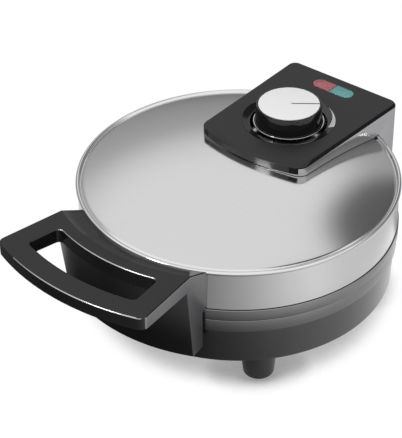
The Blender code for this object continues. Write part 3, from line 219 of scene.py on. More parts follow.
def addRelief(tree, shader, height, strength, depth):
    relief = addNode(tree, "ShaderNodeBump")
    relief.inputs["Strength"].default_value = strength
    relief.inputs["Distance"].default_value = depth
    tree.links.new(height, relief.inputs["Height"])
    tree.links.new(relief.outputs["Normal"], shader.inputs["Normal"])


floats, colours, vectors = "NodeSocketFloat", "NodeSocketColor", "NodeSocketVector"
surfaceInputs = [("Place", vectors, None), ("Colour", colours, (0.6, 0.6, 0.6, 1)),
                 ("Dark", colours, (0.5, 0.5, 0.5, 1)), ("Rough", floats, 0.3),
                 ("Rough Spread", floats, 0.05)]
surfaceOutputs = [("Colour", colours), ("Rough", floats), ("Height", floats)]


def noiseBy(group, take, detail, scale):
    noise = addNode(group, "ShaderNodeTexNoise")
    for label, value in (("Detail", detail), ("Vector", take.outputs["Place"]), ("Scale", scale)):
        feed(group, noise.inputs[label], value)
    return noise.outputs["Fac"]


def toneAndRough(group, take, give, toneBy, roughBy, heightBy):
    source = take.outputs  # one pattern mixes the two colours, one spreads the roughness
    tone = mixStep(group, toneBy, source["Dark"], source["Colour"], "RGBA")
    shift = mathStep(group, "SUBTRACT", roughBy, 0.5)
    spread = mathStep(group, "MULTIPLY_ADD", shift, source["Rough Spread"], source["Rough"])
    for label, value in (("Colour", tone), ("Rough", spread), ("Height", heightBy)):
        group.links.new(value, give.inputs[label])


def makeSpeckleGroup():
    scales = [("Patch Scale", floats, 30), ("Grain Scale", floats, 2500)]
    group, take, give = newGroup("surfaceSpeckle", surfaceInputs + scales, surfaceOutputs)
    patch = noiseBy(group, take, detail=4, scale=take.outputs["Patch Scale"])
    grain = noiseBy(group, take, detail=2, scale=take.outputs["Grain Scale"])
    toneAndRough(group, take, give, patch, patch, grain)
    return group


def makeBrushGroup():
    scales = [("Line Scale", floats, 900)]
    group, take, give = newGroup("brushedLines", surfaceInputs + scales, surfaceOutputs)
    lines = noiseBy(group, take, detail=3, scale=take.outputs["Line Scale"])
    cloud = noiseBy(group, take, detail=2, scale=9)
    toneAndRough(group, take, give, lines, cloud, lines)
    return group


speckleGroup = makeSpeckleGroup()
brushGroup = makeBrushGroup()


def startMaterial(name, metallic=0.0, stretch=(1, 1, 1), viewColour=(0.5, 0.5, 0.5)):
    material = bpy.data.materials.new(name)
    material.use_nodes = True
    material.diffuse_color = (*viewColour, 1)
    tree = material.node_tree
    shader = tree.nodes["Principled BSDF"]
    shader.inputs["Metallic"].default_value = metallic
    place = addNode(tree, "ShaderNodeTexCoord")
    mapping = addNode(tree, "ShaderNodeMapping")
    mapping.inputs["Scale"].default_value = stretch
    tree.links.new(place.outputs["Object"], mapping.inputs["Vector"])
    return material, tree, shader, mapping


def groupMaterial(name, group, values, metallic, bump, bumpDepth, stretch, shine=None):
    material, tree, shader, mapping = startMaterial(name, metallic, stretch, values["Colour"][:3])
    effect = addNode(tree, "ShaderNodeGroup", node_tree=group)
    tree.links.new(mapping.outputs["Vector"], effect.inputs["Place"])
    for label, value in values.items():
        effect.inputs[label].default_value = (*value, 1) if isinstance(value, tuple) else value
    tree.links.new(effect.outputs["Colour"], shader.inputs["Base Color"])
    tree.links.new(effect.outputs["Rough"], shader.inputs["Roughness"])
    addRelief(tree, shader, effect.outputs["Height"], bump, bumpDepth)
    for label, value in (shine or {}).items():
        shader.inputs[label].default_value = value
    return material


def speckled(name, colour, dark, rough, spread, patch, grain, metallic, bump, shine=None):
    values = {"Colour": colour, "Dark": dark, "Rough": rough, "Rough Spread": spread, "Patch Scale": patch,
              "Grain Scale": grain}
    return groupMaterial(name, speckleGroup, values, metallic, bump, bumpDepth=0.00005, stretch=(1, 1, 1),
                         shine=shine)


def brushed(name, colour, dark, rough, spread, lines, stretch, bump):
    values = {"Colour": colour, "Dark": dark, "Rough": rough, "Rough Spread": spread, "Line Scale": lines}
    return groupMaterial(name, brushGroup, values, 1.0, bump, bumpDepth=0.00002, stretch=stretch)


# each finish: colour, darker colour, roughness and its spread, then line scale, stretch and bump where it is
# brushed, or patch and grain scale, metallic, bump and shine where it is speckled
mattePlastic = ((0.014, 0.014, 0.0145), (0.010, 0.010, 0.0105), 0.45, 0.05, 40, 3200, 0.0, 0.12,
                {"Specular IOR Level": 0.30})
domeSteel = brushed("domeSteel", (0.62, 0.62, 0.62), (0.59, 0.59, 0.59), 0.15, 0.04, 700, (0.02, 1, 1), 0.03)
rimSteel = brushed("rimSteel", (0.62, 0.62, 0.62), (0.59, 0.59, 0.59), 0.06, 0.02, 700, (1, 1, 40), 0.02)
skirtSteel = brushed("skirtSteel", (0.62, 0.62, 0.62), (0.58, 0.58, 0.58), 0.20, 0.04, 700, (1, 1, 40), 0.03)
podSilver = speckled("podSilver", (0.46, 0.46, 0.47), (0.42, 0.42, 0.43), 0.24, 0.05, 25, 3500, 1.0, 0.03)
handleMatte = speckled("handleMatte", *mattePlastic)
handleGloss = speckled("handleGloss", (0.0050, 0.0050, 0.0052), (0.0036, 0.0036, 0.0038),
                       0.10, 0.03, 30, 1800, 0.0, 0.01)
# painted sheen: a lighter metallic grey on the black handle's outward side faces, standing in for their
# bright reflection
handleSidePaintedSheen = speckled("handleSidePaintedSheen", (0.34, 0.34, 0.35), (0.30, 0.30, 0.31), 0.26, 0.05, 26, 2200, 1.0, 0.02)
# painted highlight: a light metallic grey on the front-facing edge roundings, standing in for the lamp's
# highlight along the edges
handleEdgePaintedHighlight = speckled("handleEdgePaintedHighlight", (0.42, 0.42, 0.42), (0.36, 0.36, 0.36), 0.14, 0.03, 30, 1800, 1.0, 0.01)
# painted sheen: a metallic grey on the black shield's lower and upright faces, standing in for the reflection
# they show
shieldPaintedSheen = speckled("shieldPaintedSheen", (0.15, 0.15, 0.152), (0.13, 0.13, 0.132),
                       0.16, 0.04, 30, 1800, 1.0, 0.02)
fasciaMatte = speckled("fasciaMatte", *mattePlastic)
# painted shade: a darker, duller copy of the fascia's gloss for its side faces
fasciaSidePaintedShade = speckled("fasciaSidePaintedShade", (0.0035, 0.0035, 0.0035), (0.0026, 0.0026, 0.0026),
                      0.16, 0.03, 30, 1800, 0.0, 0.01, {"Specular IOR Level": 0.12})
fasciaGloss = speckled("fasciaGloss", (0.0045, 0.0045, 0.0045), (0.0034, 0.0034, 0.0034),
                       0.08, 0.03, 30, 1800, 0.0, 0.01)
basePlastic = speckled("basePlastic", (0.17, 0.17, 0.172), (0.145, 0.145, 0.147),
                       0.26, 0.05, 30, 2600, 1.0, 0.05)
upperBand = speckled("upperBand", (0.27, 0.27, 0.275), (0.23, 0.23, 0.235), 0.30, 0.06, 45, 2600, 1.0, 0.12)
lowerBand = speckled("lowerBand", (0.26, 0.26, 0.265), (0.22, 0.22, 0.225), 0.30, 0.06, 45, 2600, 1.0, 0.12)
footPlastic = speckled("footPlastic", (0.16, 0.16, 0.162), (0.13, 0.13, 0.132),
                       0.24, 0.05, 60, 2600, 1.0, 0.05)
knobGloss = speckled("knobGloss", (0.0040, 0.0040, 0.0040), (0.0030, 0.0030, 0.0030),
                     0.06, 0.02, 30, 1800, 0.0, 0.01)
capSatin = speckled("capSatin", (0.71, 0.71, 0.71), (0.68, 0.68, 0.68), 0.50, 0.05, 60, 3000, 0.0, 0.04,
                    {"Specular IOR Level": 0.2})
trimChrome = speckled("trimChrome", (0.48, 0.48, 0.485), (0.44, 0.44, 0.445), 0.06, 0.02, 40, 1500, 1.0, 0.01)
pointerInk = speckled("pointerInk", (0.008, 0.008, 0.008), (0.006, 0.006, 0.006),
                      0.5, 0.05, 60, 3000, 0.0, 0.05)
scaleInk = speckled("scaleInk", (0.56, 0.56, 0.57), (0.50, 0.50, 0.51), 0.4, 0.05, 60, 3000, 0.0, 0.05)
gridCoat = speckled("gridCoat", (0.030, 0.029, 0.028), (0.020, 0.019, 0.019),
                    0.42, 0.12, 22, 1200, 0.25, 0.35)
plateMetal = speckled("plateMetal", (0.55, 0.55, 0.56), (0.45, 0.45, 0.46), 0.35, 0.1, 20, 900, 1.0, 0.1)
sheathMetal = speckled("sheathMetal", (0.17, 0.155, 0.14), (0.10, 0.09, 0.085), 0.5, 0.12, 60, 1500, 0.8, 0.2)
zincMetal = speckled("zincMetal", (0.55, 0.55, 0.53), (0.42, 0.42, 0.40), 0.32, 0.12, 150, 1500, 1.0, 0.1)
paleCeramic = speckled("paleCeramic", (0.75, 0.73, 0.68), (0.66, 0.63, 0.58), 0.6, 0.1, 70, 2000, 0.0, 0.2)
glandRubber = speckled("glandRubber", (0.024, 0.024, 0.024), (0.015, 0.015, 0.015),
                       0.7, 0.1, 90, 2500, 0.0, 0.3)
lampGlass = speckled("lampGlass", (0.80, 0.45, 0.30), (0.70, 0.36, 0.22), 0.12, 0.05, 90, 900, 0.0, 0.02)
print("materials made")


# lid cover
lidCover = {"skirtRadius": 0.118, "taper": 0.001, "skirtHeight": 0.0287, "sheet": 0.0008, "beadSize": 0.0016,
            "beadProud": 0.0018, "domeSetback": 0.0046, "domeRise": 0.0108, "fullness": 2.4, "domeSteps": 40,
            "valleyRadius": 0.1151, "valleyDrop": 0.0009, "valleySoft": 0.0016, "rollStart": 150,
            "rollEnd": -75, "tuckOut": 0.0001, "tuckDown": 0.0003, "domeDrop": 0.0009, "topMargin": 0.0002,
            "rimMargin": 0.0004}


def buildLidCover():
    c = lidCover
    foot = body["skirtFoot"]
    skirtTop = foot + c["skirtHeight"]
    neck = c["skirtRadius"] - c["taper"]
    beadZ = skirtTop + c["beadSize"]
    beadR = neck + c["beadProud"] - c["beadSize"]
    domeR = c["skirtRadius"] - c["domeSetback"]
    edge = beadZ + c["beadSize"] - c["domeDrop"]
    steps = c["domeSteps"]
    dome = [(domeR * i / steps, edge + c["domeRise"] * (1 - (i / steps) ** c["fullness"]))
            for i in range(steps + 1)]
    roll = arcPoints(c["beadSize"], c["rollStart"], c["rollEnd"], beadR, beadZ, steps=14)
    valley = (c["valleyRadius"], edge - c["valleyDrop"])
    channel = roundTurn([dome[-2], dome[-1], valley, roll[0]], c["valleySoft"], steps=6)[1:-1]
    dome.pop()
    skirt = [(neck + c["tuckOut"], skirtTop - c["tuckDown"]), (c["skirtRadius"], foot)]
    under = [(c["skirtRadius"] - c["sheet"], foot), (neck - c["sheet"], skirtTop)]
    inside = [(r, z - c["sheet"]) for r, z in reversed(dome + channel)]
    bm = spunRound(dome + channel + roll + skirt + under + inside, steps=180)
    for face in bm.faces:
        middle = face.calc_center_median()
        above = middle.z > skirtTop - c["topMargin"]
        atRim = (middle - axis).xy.length > c["valleyRadius"] - c["rimMargin"]
        face.material_index = (2 if atRim else 0) if above else 1
    piece = addPiece("lidCoverSkin", bm, "lid", domeSteel, ["lid_cover"], smooth=50)
    piece.data.materials.append(skirtSteel)
    piece.data.materials.append(rimSteel)


buildLidCover()
print("lid cover built")


# bands at the parting line, base bowl and feet
bands = {"parting": 0.0617, "lidRadius": 0.1187, "baseRadius": 0.118, "ledge": 0.0025, "ledgeRadius": 0.104,
         "upstand": 0.010, "upstandOut": 0.1165, "upstandIn": 0.1139, "topWidth": 0.0017, "wall": 0.003,
         "baseTop": 0.0515, "soft": 0.0005, "seam": 0.0007}


def buildBands():
    b = bands
    low = b["parting"] + b["seam"] / 2
    top = body["skirtFoot"] - b["seam"]
    ledge, crest = b["parting"] + b["ledge"], body["skirtFoot"] + b["upstand"]
    outer = roundTurn([(b["ledgeRadius"], low), (b["lidRadius"], low), (b["lidRadius"], top),
                       (b["lidRadius"] - b["topWidth"], top)], b["soft"])
    inner = [(b["upstandOut"], crest), (b["upstandIn"], crest), (b["upstandIn"], ledge),
             (b["ledgeRadius"], ledge)]
    addPiece("lidBand", spunRound(outer + inner), "lid", upperBand, ["lid_ring"], smooth=50)
    top = b["parting"] - b["seam"] / 2
    ledge, wallIn = b["parting"] - b["ledge"], b["baseRadius"] - b["wall"]
    outer = roundTurn([(wallIn, b["baseTop"]), (b["baseRadius"], b["baseTop"]), (b["baseRadius"], top),
                       (b["ledgeRadius"], top)], b["soft"])
    inner = [(b["ledgeRadius"], ledge), (wallIn, ledge)]
    addPiece("baseBand", spunRound(outer + inner), "base", lowerBand, ["base_ring"], smooth=50)


bowl = {"foot": 0.0218, "top": 0.0512, "topRadius": 0.1165, "footRadius": 0.1157, "edge": 0.003,
        "arcStart": -75, "arcEnd": -5, "wall": 0.0028, "floor": 0.0025}


def buildBowl():
    b = bowl
    outer = [(0, b["foot"]), (b["footRadius"] - b["edge"], b["foot"])]
    outer += arcPoints(b["edge"], b["arcStart"], b["arcEnd"], b["footRadius"] - b["edge"],
                       b["foot"] + b["edge"], steps=6)
    outer += [(b["topRadius"], b["top"]), (b["topRadius"] - b["wall"], b["top"]),
              (b["footRadius"] - b["wall"], b["foot"] + b["floor"] + b["edge"]),
              (b["footRadius"] - b["wall"] - b["edge"], b["foot"] + b["floor"]), (0, b["foot"] + b["floor"])]
    addPiece("baseBowl", spunRound(outer), "base", basePlastic, ["base_shell"], smooth=50)


ears = {"inside": 0.0286, "width": 0.009, "pinY": 0.1252, "pinZ": 0.0662, "radius": 0.0064, "front": 0.119,
        "under": 0.0509, "rear": 0.1297, "web": 0.0507, "rootY": 0.1090, "rootZ": 0.0362, "soft": 0.0008,
        "tipStart": -45, "tipEnd": 180}


def buildEars():
    e = ears
    for side, hand in ((-1, "Left"), (1, "Right")):
        bm = bmesh.new()
        tip = arcPoints(e["radius"], e["tipStart"], e["tipEnd"], e["pinY"], e["pinZ"], steps=18)
        outline = [(e["rear"], e["web"])] + tip + [(e["front"], e["under"]), (e["rootY"], e["under"]),
                                                   (e["rootY"], e["rootZ"])]
        start = e["inside"] if side > 0 else -e["inside"] - e["width"]
        bm.faces.new([bm.verts.new((start, y + body["axisY"], z)) for y, z in outline])
        far = bmesh.ops.extrude_face_region(bm, geom=bm.faces[:])["geom"]
        moved = [item for item in far if isinstance(item, bmesh.types.BMVert)]
        bmesh.ops.translate(bm, verts=moved, vec=(e["width"], 0, 0))
        bmesh.ops.recalc_face_normals(bm, faces=bm.faces)
        rims = [edge for edge in bm.edges if abs(edge.verts[0].co.x - edge.verts[1].co.x) < slack]
        bevelSome(bm, rims, e["soft"], segments=2)
        addPiece("hingeEar" + hand, bm, "base", basePlastic, None, smooth=40)


feet = {"spread": 0.1002, "bearing": 47.5, "top": 0.0215, "topRadius": 0.013, "tipRadius": 0.0113,
        "tipRound": 0.003, "arcStart": -90, "arcEnd": -6, "screwHole": 0.0022, "recess": 0.0041,
        "recessTop": 0.0052, "names": ("front_right", "rear_right", "rear_left", "front_left")}


def buildFeet():
    f = feet
    for i, name in enumerate(f["names"]):
        bearing = math.radians((f["bearing"], 180 - f["bearing"], 180 + f["bearing"], -f["bearing"])[i])
        centre = axis + Vector((f["spread"] * math.sin(bearing), -f["spread"] * math.cos(bearing), 0))
        tip = arcPoints(f["tipRound"], f["arcStart"], f["arcEnd"], f["tipRadius"] - f["tipRound"],
                        f["tipRound"], steps=8)
        profile = [(f["recess"], 0)] + tip + [(f["topRadius"], f["top"]), (f["screwHole"], f["top"]),
                                              (f["screwHole"], f["recessTop"]), (f["recess"], f["recessTop"])]
        addPiece("footMoulded_" + name, spunRound(profile, steps=48, centre=centre), "base", footPlastic,
                 ["foot_" + name], smooth=50)


buildBands()
buildBowl()
buildEars()
buildFeet()
print("bands, bowl, ears and feet built")


# handle with its collar and shield
# radii run from the lid's axis, half widths are taken at rearReach and grow forward with the flare
handle = {"top": 0.1118, "lift": 0.0021, "crease": 0.1363, "reach": 0.1894, "collarLow": 0.1033,
          "collarR": 0.1191, "frontThick": 0.0096, "rearThick": 0.0110, "topRise": 0.00016,
          "underRise": 0.0003, "shieldTop": 0.1411, "shieldFoot": 0.1347, "foot": 0.0408, "inside": 0.1232,
          "skirtLow": 0.1184,
          "skirtHigh": (0.1175, 0.0284), "collarSeat": (0.1190, 0.0292), "rearHalf": 0.0597,
          "rearReach": 0.1227, "flare": 0.1317, "draft": 0.0008, "draftFrom": 0.045, "corner": 0.0062,
          "soft": 0.0011, "openRear": 0.1459, "openFront": 0.1723, "openHalf": 0.0429, "openCorner": 0.0036,
          "wall": 0.003, "hollowRear": 0.110, "hollowSpread": 24.5}
# how far the blank and its cuts reach
handleCuts = {"spread": 36, "front": 0.004, "rear": 0.100, "below": 0.01, "tall": 0.1, "openBelow": 0.02,
              "openTall": 0.06}
# how an edge or a face of the handle lies when it is softened or gets its own look: the matte top, the
# painted sheen on the sides and shield, or the painted highlight on the front edges
handleLooks = {"steep": 45, "rimUp": 0.85, "level": 0.3, "collarMargin": 0.0008, "topUp": 0.97,
               "topMargin": 0.0012, "sideways": 0.95, "sideMargin": 0.009, "paintedHighlightUps": (0.35, 0.94),
               "paintedHighlightFront": -0.5, "paintedHighlightFrom": -0.045, "shieldMargin": 0.001}
outlineSteps = {"arc": 40, "corner": 10, "rear": 8}


def spinPoint(bm, place, centre, turn, steps):
    first = bm.verts.new(place)
    count = len(bm.verts)
    bmesh.ops.spin(bm, geom=[first], cent=centre, axis=(0, 0, 1), dvec=(0, 0, 0), angle=turn, steps=steps)
    bm.verts.ensure_lookup_table()
    return [first] + [bm.verts[i] for i in range(count, len(bm.verts))]


def closeLoop(bm, loop):
    bmesh.ops.delete(bm, geom=bm.edges[:], context="EDGES_FACES")
    bm.faces.new(loop)
    loose = [vert for vert in bm.verts if not vert.link_faces]
    bmesh.ops.delete(bm, geom=loose, context="VERTS")
    return bm


def cornerCentre(radius, half, inset):
    h = handle  # where a circle round the axis meets the side line, moved in by the inset
    lean = math.hypot(1, h["flare"])
    shift = half - inset * lean - h["flare"] * h["rearReach"]
    a, b, c = lean ** 2, 2 * h["flare"] * shift, shift ** 2 - radius ** 2
    forward = (-b + math.sqrt(b * b - 4 * a * c)) / (2 * a)
    return Vector((shift + h["flare"] * forward, -forward, 0))


def bandFace(rearR, frontR, half, rearCorner, frontCorner, height):
    bm = bmesh.new()  # one face between two arcs and two flared sides, its corners rounded
    steps = outlineSteps
    lean = math.hypot(1, handle["flare"])
    outward = Vector((1, handle["flare"], 0)) / lean
    frontMiddle = cornerCentre(frontR - frontCorner, half, frontCorner)
    rearMiddle = cornerCentre(rearR + rearCorner, half, rearCorner)
    frontTurn = math.atan2(frontMiddle.x, -frontMiddle.y)
    rearTurn = math.atan2(rearMiddle.x, -rearMiddle.y)
    sideTurn = math.atan2(outward.x, -outward.y)
    lift = Vector((0, 0, height)) + axis
    start = Vector((-frontR * math.sin(frontTurn), -frontR * math.cos(frontTurn), 0)) + lift
    loop = spinPoint(bm, start, lift, 2 * frontTurn, steps["arc"])
    if frontCorner:
        loop += spinPoint(bm, loop[-1].co.copy(), frontMiddle + lift, sideTurn - frontTurn,
                          steps["corner"])[1:]
    if rearCorner:
        loop += spinPoint(bm, rearMiddle + outward * rearCorner + lift, rearMiddle + lift,
                          math.pi + rearTurn - sideTurn, steps["rear"])[:-1]
    end = Vector((rearR * math.sin(rearTurn), -rearR * math.cos(rearTurn), 0)) + lift
    loop += spinPoint(bm, end, lift, -2 * rearTurn, steps["arc"])
    if rearCorner:
        middle = Vector((-rearMiddle.x, rearMiddle.y, 0)) + lift
        loop += spinPoint(bm, loop[-1].co.copy(), middle, math.pi + rearTurn - sideTurn,
                          steps["rear"])[1:]
    if frontCorner:
        middle = Vector((-frontMiddle.x, frontMiddle.y, 0)) + lift
        place = Vector((-outward.x, outward.y, 0)) * frontCorner + middle
        loop += spinPoint(bm, place, middle, sideTurn - frontTurn, steps["corner"])[:-1]
    return closeLoop(bm, loop)


def softenChosen(piece, width, segments, wanted, join=0.00002, flat=0.35):
    bm = bmesh.new()
    bm.from_mesh(piece.data)
    bmesh.ops.remove_doubles(bm, verts=bm.verts, dist=join)
    bmesh.ops.dissolve_degenerate(bm, dist=join, edges=bm.edges)
    bmesh.ops.dissolve_limit(bm, angle_limit=math.radians(flat), verts=bm.verts, edges=bm.edges,
                             use_dissolve_boundaries=False, delimit=set())
    chosen = [edge for edge in bm.edges if len(edge.link_faces) == 2 and wanted(edge)]
    bmesh.ops.bevel(bm, geom=chosen, offset=width, offset_type="OFFSET", affect="EDGES", segments=segments,
                    profile=0.5, material=-1, clamp_overlap=False, loop_slide=False)
    bm.to_mesh(piece.data)
    bm.free()


def evenNormals(piece, angle):
    piece.data.shade_smooth()
    piece.data.set_sharp_from_angle(angle=math.radians(angle))
    even = piece.modifiers.new("even", "WEIGHTED_NORMAL")
    even.keep_sharp = True
    bakeModifiers(piece)


def buildHandle():
    h, cut, look = handle, handleCuts, handleLooks
    foot, gap = body["skirtFoot"], body["gap"]
    under = h["top"] - h["rearThick"]
    front, frontTop = h["reach"] + cut["front"], h["top"] + h["lift"]
    section = [(h["collarR"], h["collarLow"]), (h["crease"], h["top"]),
               (front, frontTop + h["topRise"]), (front, frontTop - h["frontThick"] + h["underRise"]),
               (h["shieldTop"], under), (h["shieldFoot"], h["foot"]), (h["inside"], h["foot"]),
               (h["inside"], foot - gap),
               (h["skirtLow"], foot - gap), (h["skirtHigh"][0], foot + h["skirtHigh"][1]),
               (h["collarSeat"][0], foot + h["collarSeat"][1])]
    blank = spunArc(section, facingFront, cut["spread"], steps=36)
    piece = addPiece("handleMoulding", blank, "lid", handleGloss, ["front_handle"], smooth=40)
    outline = bandFace(cut["rear"], h["reach"], h["rearHalf"], 0, h["corner"], h["foot"] - cut["below"])
    raised(outline, cut["tall"])
    for vert in outline.verts:
        if vert.co.z < h["foot"] and abs(vert.co.x) > h["draftFrom"]:
            vert.co.x -= math.copysign(h["draft"], vert.co.x)
    carve(piece, outline, "INTERSECT")
    opening = bandFace(h["openRear"], h["openFront"], h["openHalf"], h["openCorner"], h["openCorner"],
                       under - cut["openBelow"])
    carve(piece, raised(opening, cut["openTall"]))
    w = h["wall"]
    hollow = [(h["hollowRear"], h["foot"] + w), (h["shieldFoot"] - w, h["foot"] + w),
              (h["shieldTop"] - w, under), (h["hollowRear"], under)]
    carve(piece, spunArc(hollow, facingFront, h["hollowSpread"], steps=40))

    def aroundTop(edge):
        steep = edge.calc_face_angle(0) > math.radians(look["steep"])
        nearest = min((vert.co - axis).xy.length for vert in edge.verts)
        ups = sorted(face.normal.z for face in edge.link_faces)
        return (steep and ups[1] > look["rimUp"] and abs(ups[0]) < look["level"]
                and nearest > h["collarR"] + look["collarMargin"])

    softenChosen(piece, h["soft"], segments=4, wanted=aroundTop)
    evenNormals(piece, angle=38)
    for material in (handleMatte, handleSidePaintedSheen, handleEdgePaintedHighlight, shieldPaintedSheen):
        piece.data.materials.append(material)
    lowUp, highUp = look["paintedHighlightUps"]
    for face in piece.data.polygons:
        place, up = face.center - axis, face.normal.z
        if up > look["topUp"] and place.z > h["top"] - look["topMargin"]:
            face.material_index = 1
        # painted sheen: the handle's outward side faces take the lighter metallic grey
        elif abs(face.normal.x) > look["sideways"] and abs(place.x) > h["openHalf"] + look["sideMargin"]:
            face.material_index = 2
        # painted highlight: front-facing edge roundings right of the given x take the light metallic grey
        elif lowUp < up < highUp and face.normal.y < look["paintedHighlightFront"] and place.x > look["paintedHighlightFrom"]:
            face.material_index = 3
        # painted sheen: the shield's low and upright faces take the metallic grey
        elif up < look["level"] and place.xy.length < h["shieldTop"] + look["shieldMargin"]:
            face.material_index = 4


buildHandle()
print("handle built")


# control pod
pod = {"rear": 0.1322, "front": 0.0053, "rearHalf": 0.0506, "frontHalf": 0.0474, "bulge": 0.0094,
       "frontRound": 0.009, "rearRound": 0.007, "wall": 0.0022, "foot": 0.0723, "lipFoot": 0.1139,
       "lipHalf": 0.044, "lipAhead": 0.003, "seam": 0.1185, "shoulder": 0.1189, "top": 0.1205,
       "edgeInset": 0.0015, "bevelWide": 0.0022, "topBulge": 0.019, "crest": 0.0003, "wallSoft": 0.0003}
# how far the cuts reach, and the lid's shape that the housing's foot clears
podCuts = {"spare": 0.01, "tall": 0.08, "block": 0.4, "beadMiddle": 0.1172, "rollStart": 120, "rollEnd": -60,
           "skirtHigh": (0.1174, 0.028), "skirtLow": 0.1183, "below": 0.119, "foot": 0.05}


def podFace(height, inset=0.0, setback=None, bulge=None):
    p, steps = pod, outlineSteps  # a bulging front, sides that spread a little and four round corners
    bm = bmesh.new()
    half, rearHalf = p["frontHalf"] - inset, p["rearHalf"] - inset
    if bulge is None:
        fullRadius = (p["frontHalf"] ** 2 + p["bulge"] ** 2) / (2 * p["bulge"])
        radius = fullRadius - inset
        setback, bulge = inset, radius - math.sqrt(radius ** 2 - half ** 2)
    else:
        radius = (half ** 2 + bulge ** 2) / (2 * bulge)
    front = body["axisY"] + p["front"] + setback
    rear = body["axisY"] + p["rear"] - inset
    middle = front + radius
    lean = math.atan2(rearHalf - half, rear - front - bulge)
    outward = Vector((math.cos(lean), -math.sin(lean), 0))
    reach = half * math.cos(lean) - (front + bulge) * math.sin(lean)
    frontRound, rearRound = p["frontRound"] - inset, p["rearRound"] - inset
    slope, start = math.tan(lean), (reach - frontRound) / math.cos(lean)
    a, b = slope ** 2 + 1, 2 * (start * slope - middle)
    c = start ** 2 + middle ** 2 - (radius - frontRound) ** 2
    y = (-b - math.sqrt(b * b - 4 * a * c)) / (2 * a)
    frontCentre = Vector((start + slope * y, y, height))
    y = rear - rearRound
    rearCentre = Vector(((reach - rearRound + y * math.sin(lean)) / math.cos(lean), y, height))
    sweep = math.atan2(frontCentre.x, middle - frontCentre.y)
    pivot = Vector((0, middle, height))
    place = pivot + Vector((-radius * math.sin(sweep), -radius * math.cos(sweep), 0))
    loop = spinPoint(bm, place, pivot, 2 * sweep, steps["arc"])
    frontSweep, rearSweep, corner = math.pi / 2 - lean - sweep, math.pi / 2 + lean, steps["corner"]
    loop += spinPoint(bm, loop[-1].co.copy(), frontCentre, frontSweep, corner)[1:]
    loop += spinPoint(bm, rearCentre + outward * rearRound, rearCentre, rearSweep, corner)
    mirrored = Vector((-rearCentre.x, rearCentre.y, height))
    loop += spinPoint(bm, mirrored + Vector((0, rearRound, 0)), mirrored, rearSweep, corner)
    mirrored = Vector((-frontCentre.x, frontCentre.y, height))
    place = mirrored + Vector((-outward.x, outward.y, 0)) * frontRound
    loop += spinPoint(bm, place, mirrored, frontSweep, corner)[:-1]
    return closeLoop(bm, loop)


def lipStrip(low, high, spare):
    p = pod  # the arc of the front wall that the fascia's lip takes
    radius = (p["frontHalf"] ** 2 + p["bulge"] ** 2) / (2 * p["bulge"])
    inner, outer = radius - 2 * p["wall"] - spare, radius + p["lipAhead"]
    points = [(inner, low), (outer, low), (outer, high), (inner, high)]
    spread = math.degrees(math.asin((p["lipHalf"] + spare) / radius))
    pivot = Vector((0, body["axisY"] + p["front"] + radius, 0))
    return spunArc(points, facingFront, spread, steps=24, centre=pivot)


def buildHousing():
    p, cut, g, c = pod, podCuts, body["gap"], lidCover
    housing = addPiece("podHousing", raised(podFace(p["foot"]), p["seam"] - g - p["foot"]), "lid", podSilver,
                       ["control_housing"], smooth=40)
    carve(housing, raised(podFace(p["foot"] - cut["spare"], p["wall"]), cut["tall"]))
    carve(housing, lipStrip(p["lipFoot"] - g, p["seam"] + cut["spare"], g))
    foot, steps = body["skirtFoot"], c["domeSteps"] // 2
    domeR = c["skirtRadius"] - c["domeSetback"]
    edge = foot + c["skirtHeight"] + 2 * c["beadSize"] - c["sheet"]
    dome = [(domeR * i / steps, edge + c["domeRise"] * (1 - (i / steps) ** c["fullness"]) + g)
            for i in range(steps + 1)]
    roll = arcPoints(c["beadSize"] + g, cut["rollStart"], cut["rollEnd"], cut["beadMiddle"],
                     foot + c["skirtHeight"] + c["beadSize"], steps=8)
    skirt = [(cut["skirtHigh"][0], foot + cut["skirtHigh"][1]), (cut["skirtLow"], foot),
             (cut["below"], foot - g), (cut["below"], cut["foot"]), (0, cut["foot"])]
    carve(housing, spunRound(dome + roll + skirt, steps=120))
    softenEdges(housing, p["wallSoft"], segments=2, angle=50)


def buildFascia():
    p, cut = pod, podCuts
    bm = raised(podFace(p["lipFoot"]), p["shoulder"] - p["lipFoot"])
    shoulder = max(bm.faces, key=lambda face: face.normal.z * face.calc_center_median().z)
    crest = podFace(p["top"], p["edgeInset"], p["bevelWide"], p["topBulge"])
    spare = bpy.data.meshes.new("crest")
    crest.to_mesh(spare)
    crest.free()
    edges = list(shoulder.edges)
    bmesh.ops.delete(bm, geom=[shoulder], context="FACES_ONLY")
    known = set(bm.edges)
    bm.from_mesh(spare)
    bpy.data.meshes.remove(spare)
    edges += [edge for edge in bm.edges if edge not in known]
    bmesh.ops.bridge_loops(bm, edges=edges)
    bmesh.ops.recalc_face_normals(bm, faces=bm.faces)
    piece = addPiece("podFascia", bm, "lid", fasciaGloss, ["control_fascia"], smooth=25)
    box = bmesh.new()
    cube = bmesh.ops.create_cube(box, size=cut["block"])["verts"]
    bmesh.ops.translate(box, verts=cube, vec=(0, 0, p["seam"] - cut["block"] / 2))
    beside = addPiece("beside", box, None)  # all below the seam but the lip
    carve(beside, lipStrip(p["lipFoot"] - cut["spare"], p["seam"] + cut["spare"], 0))
    carve(piece, beside)
    return piece


buildHousing()
fasciaPiece = buildFascia()

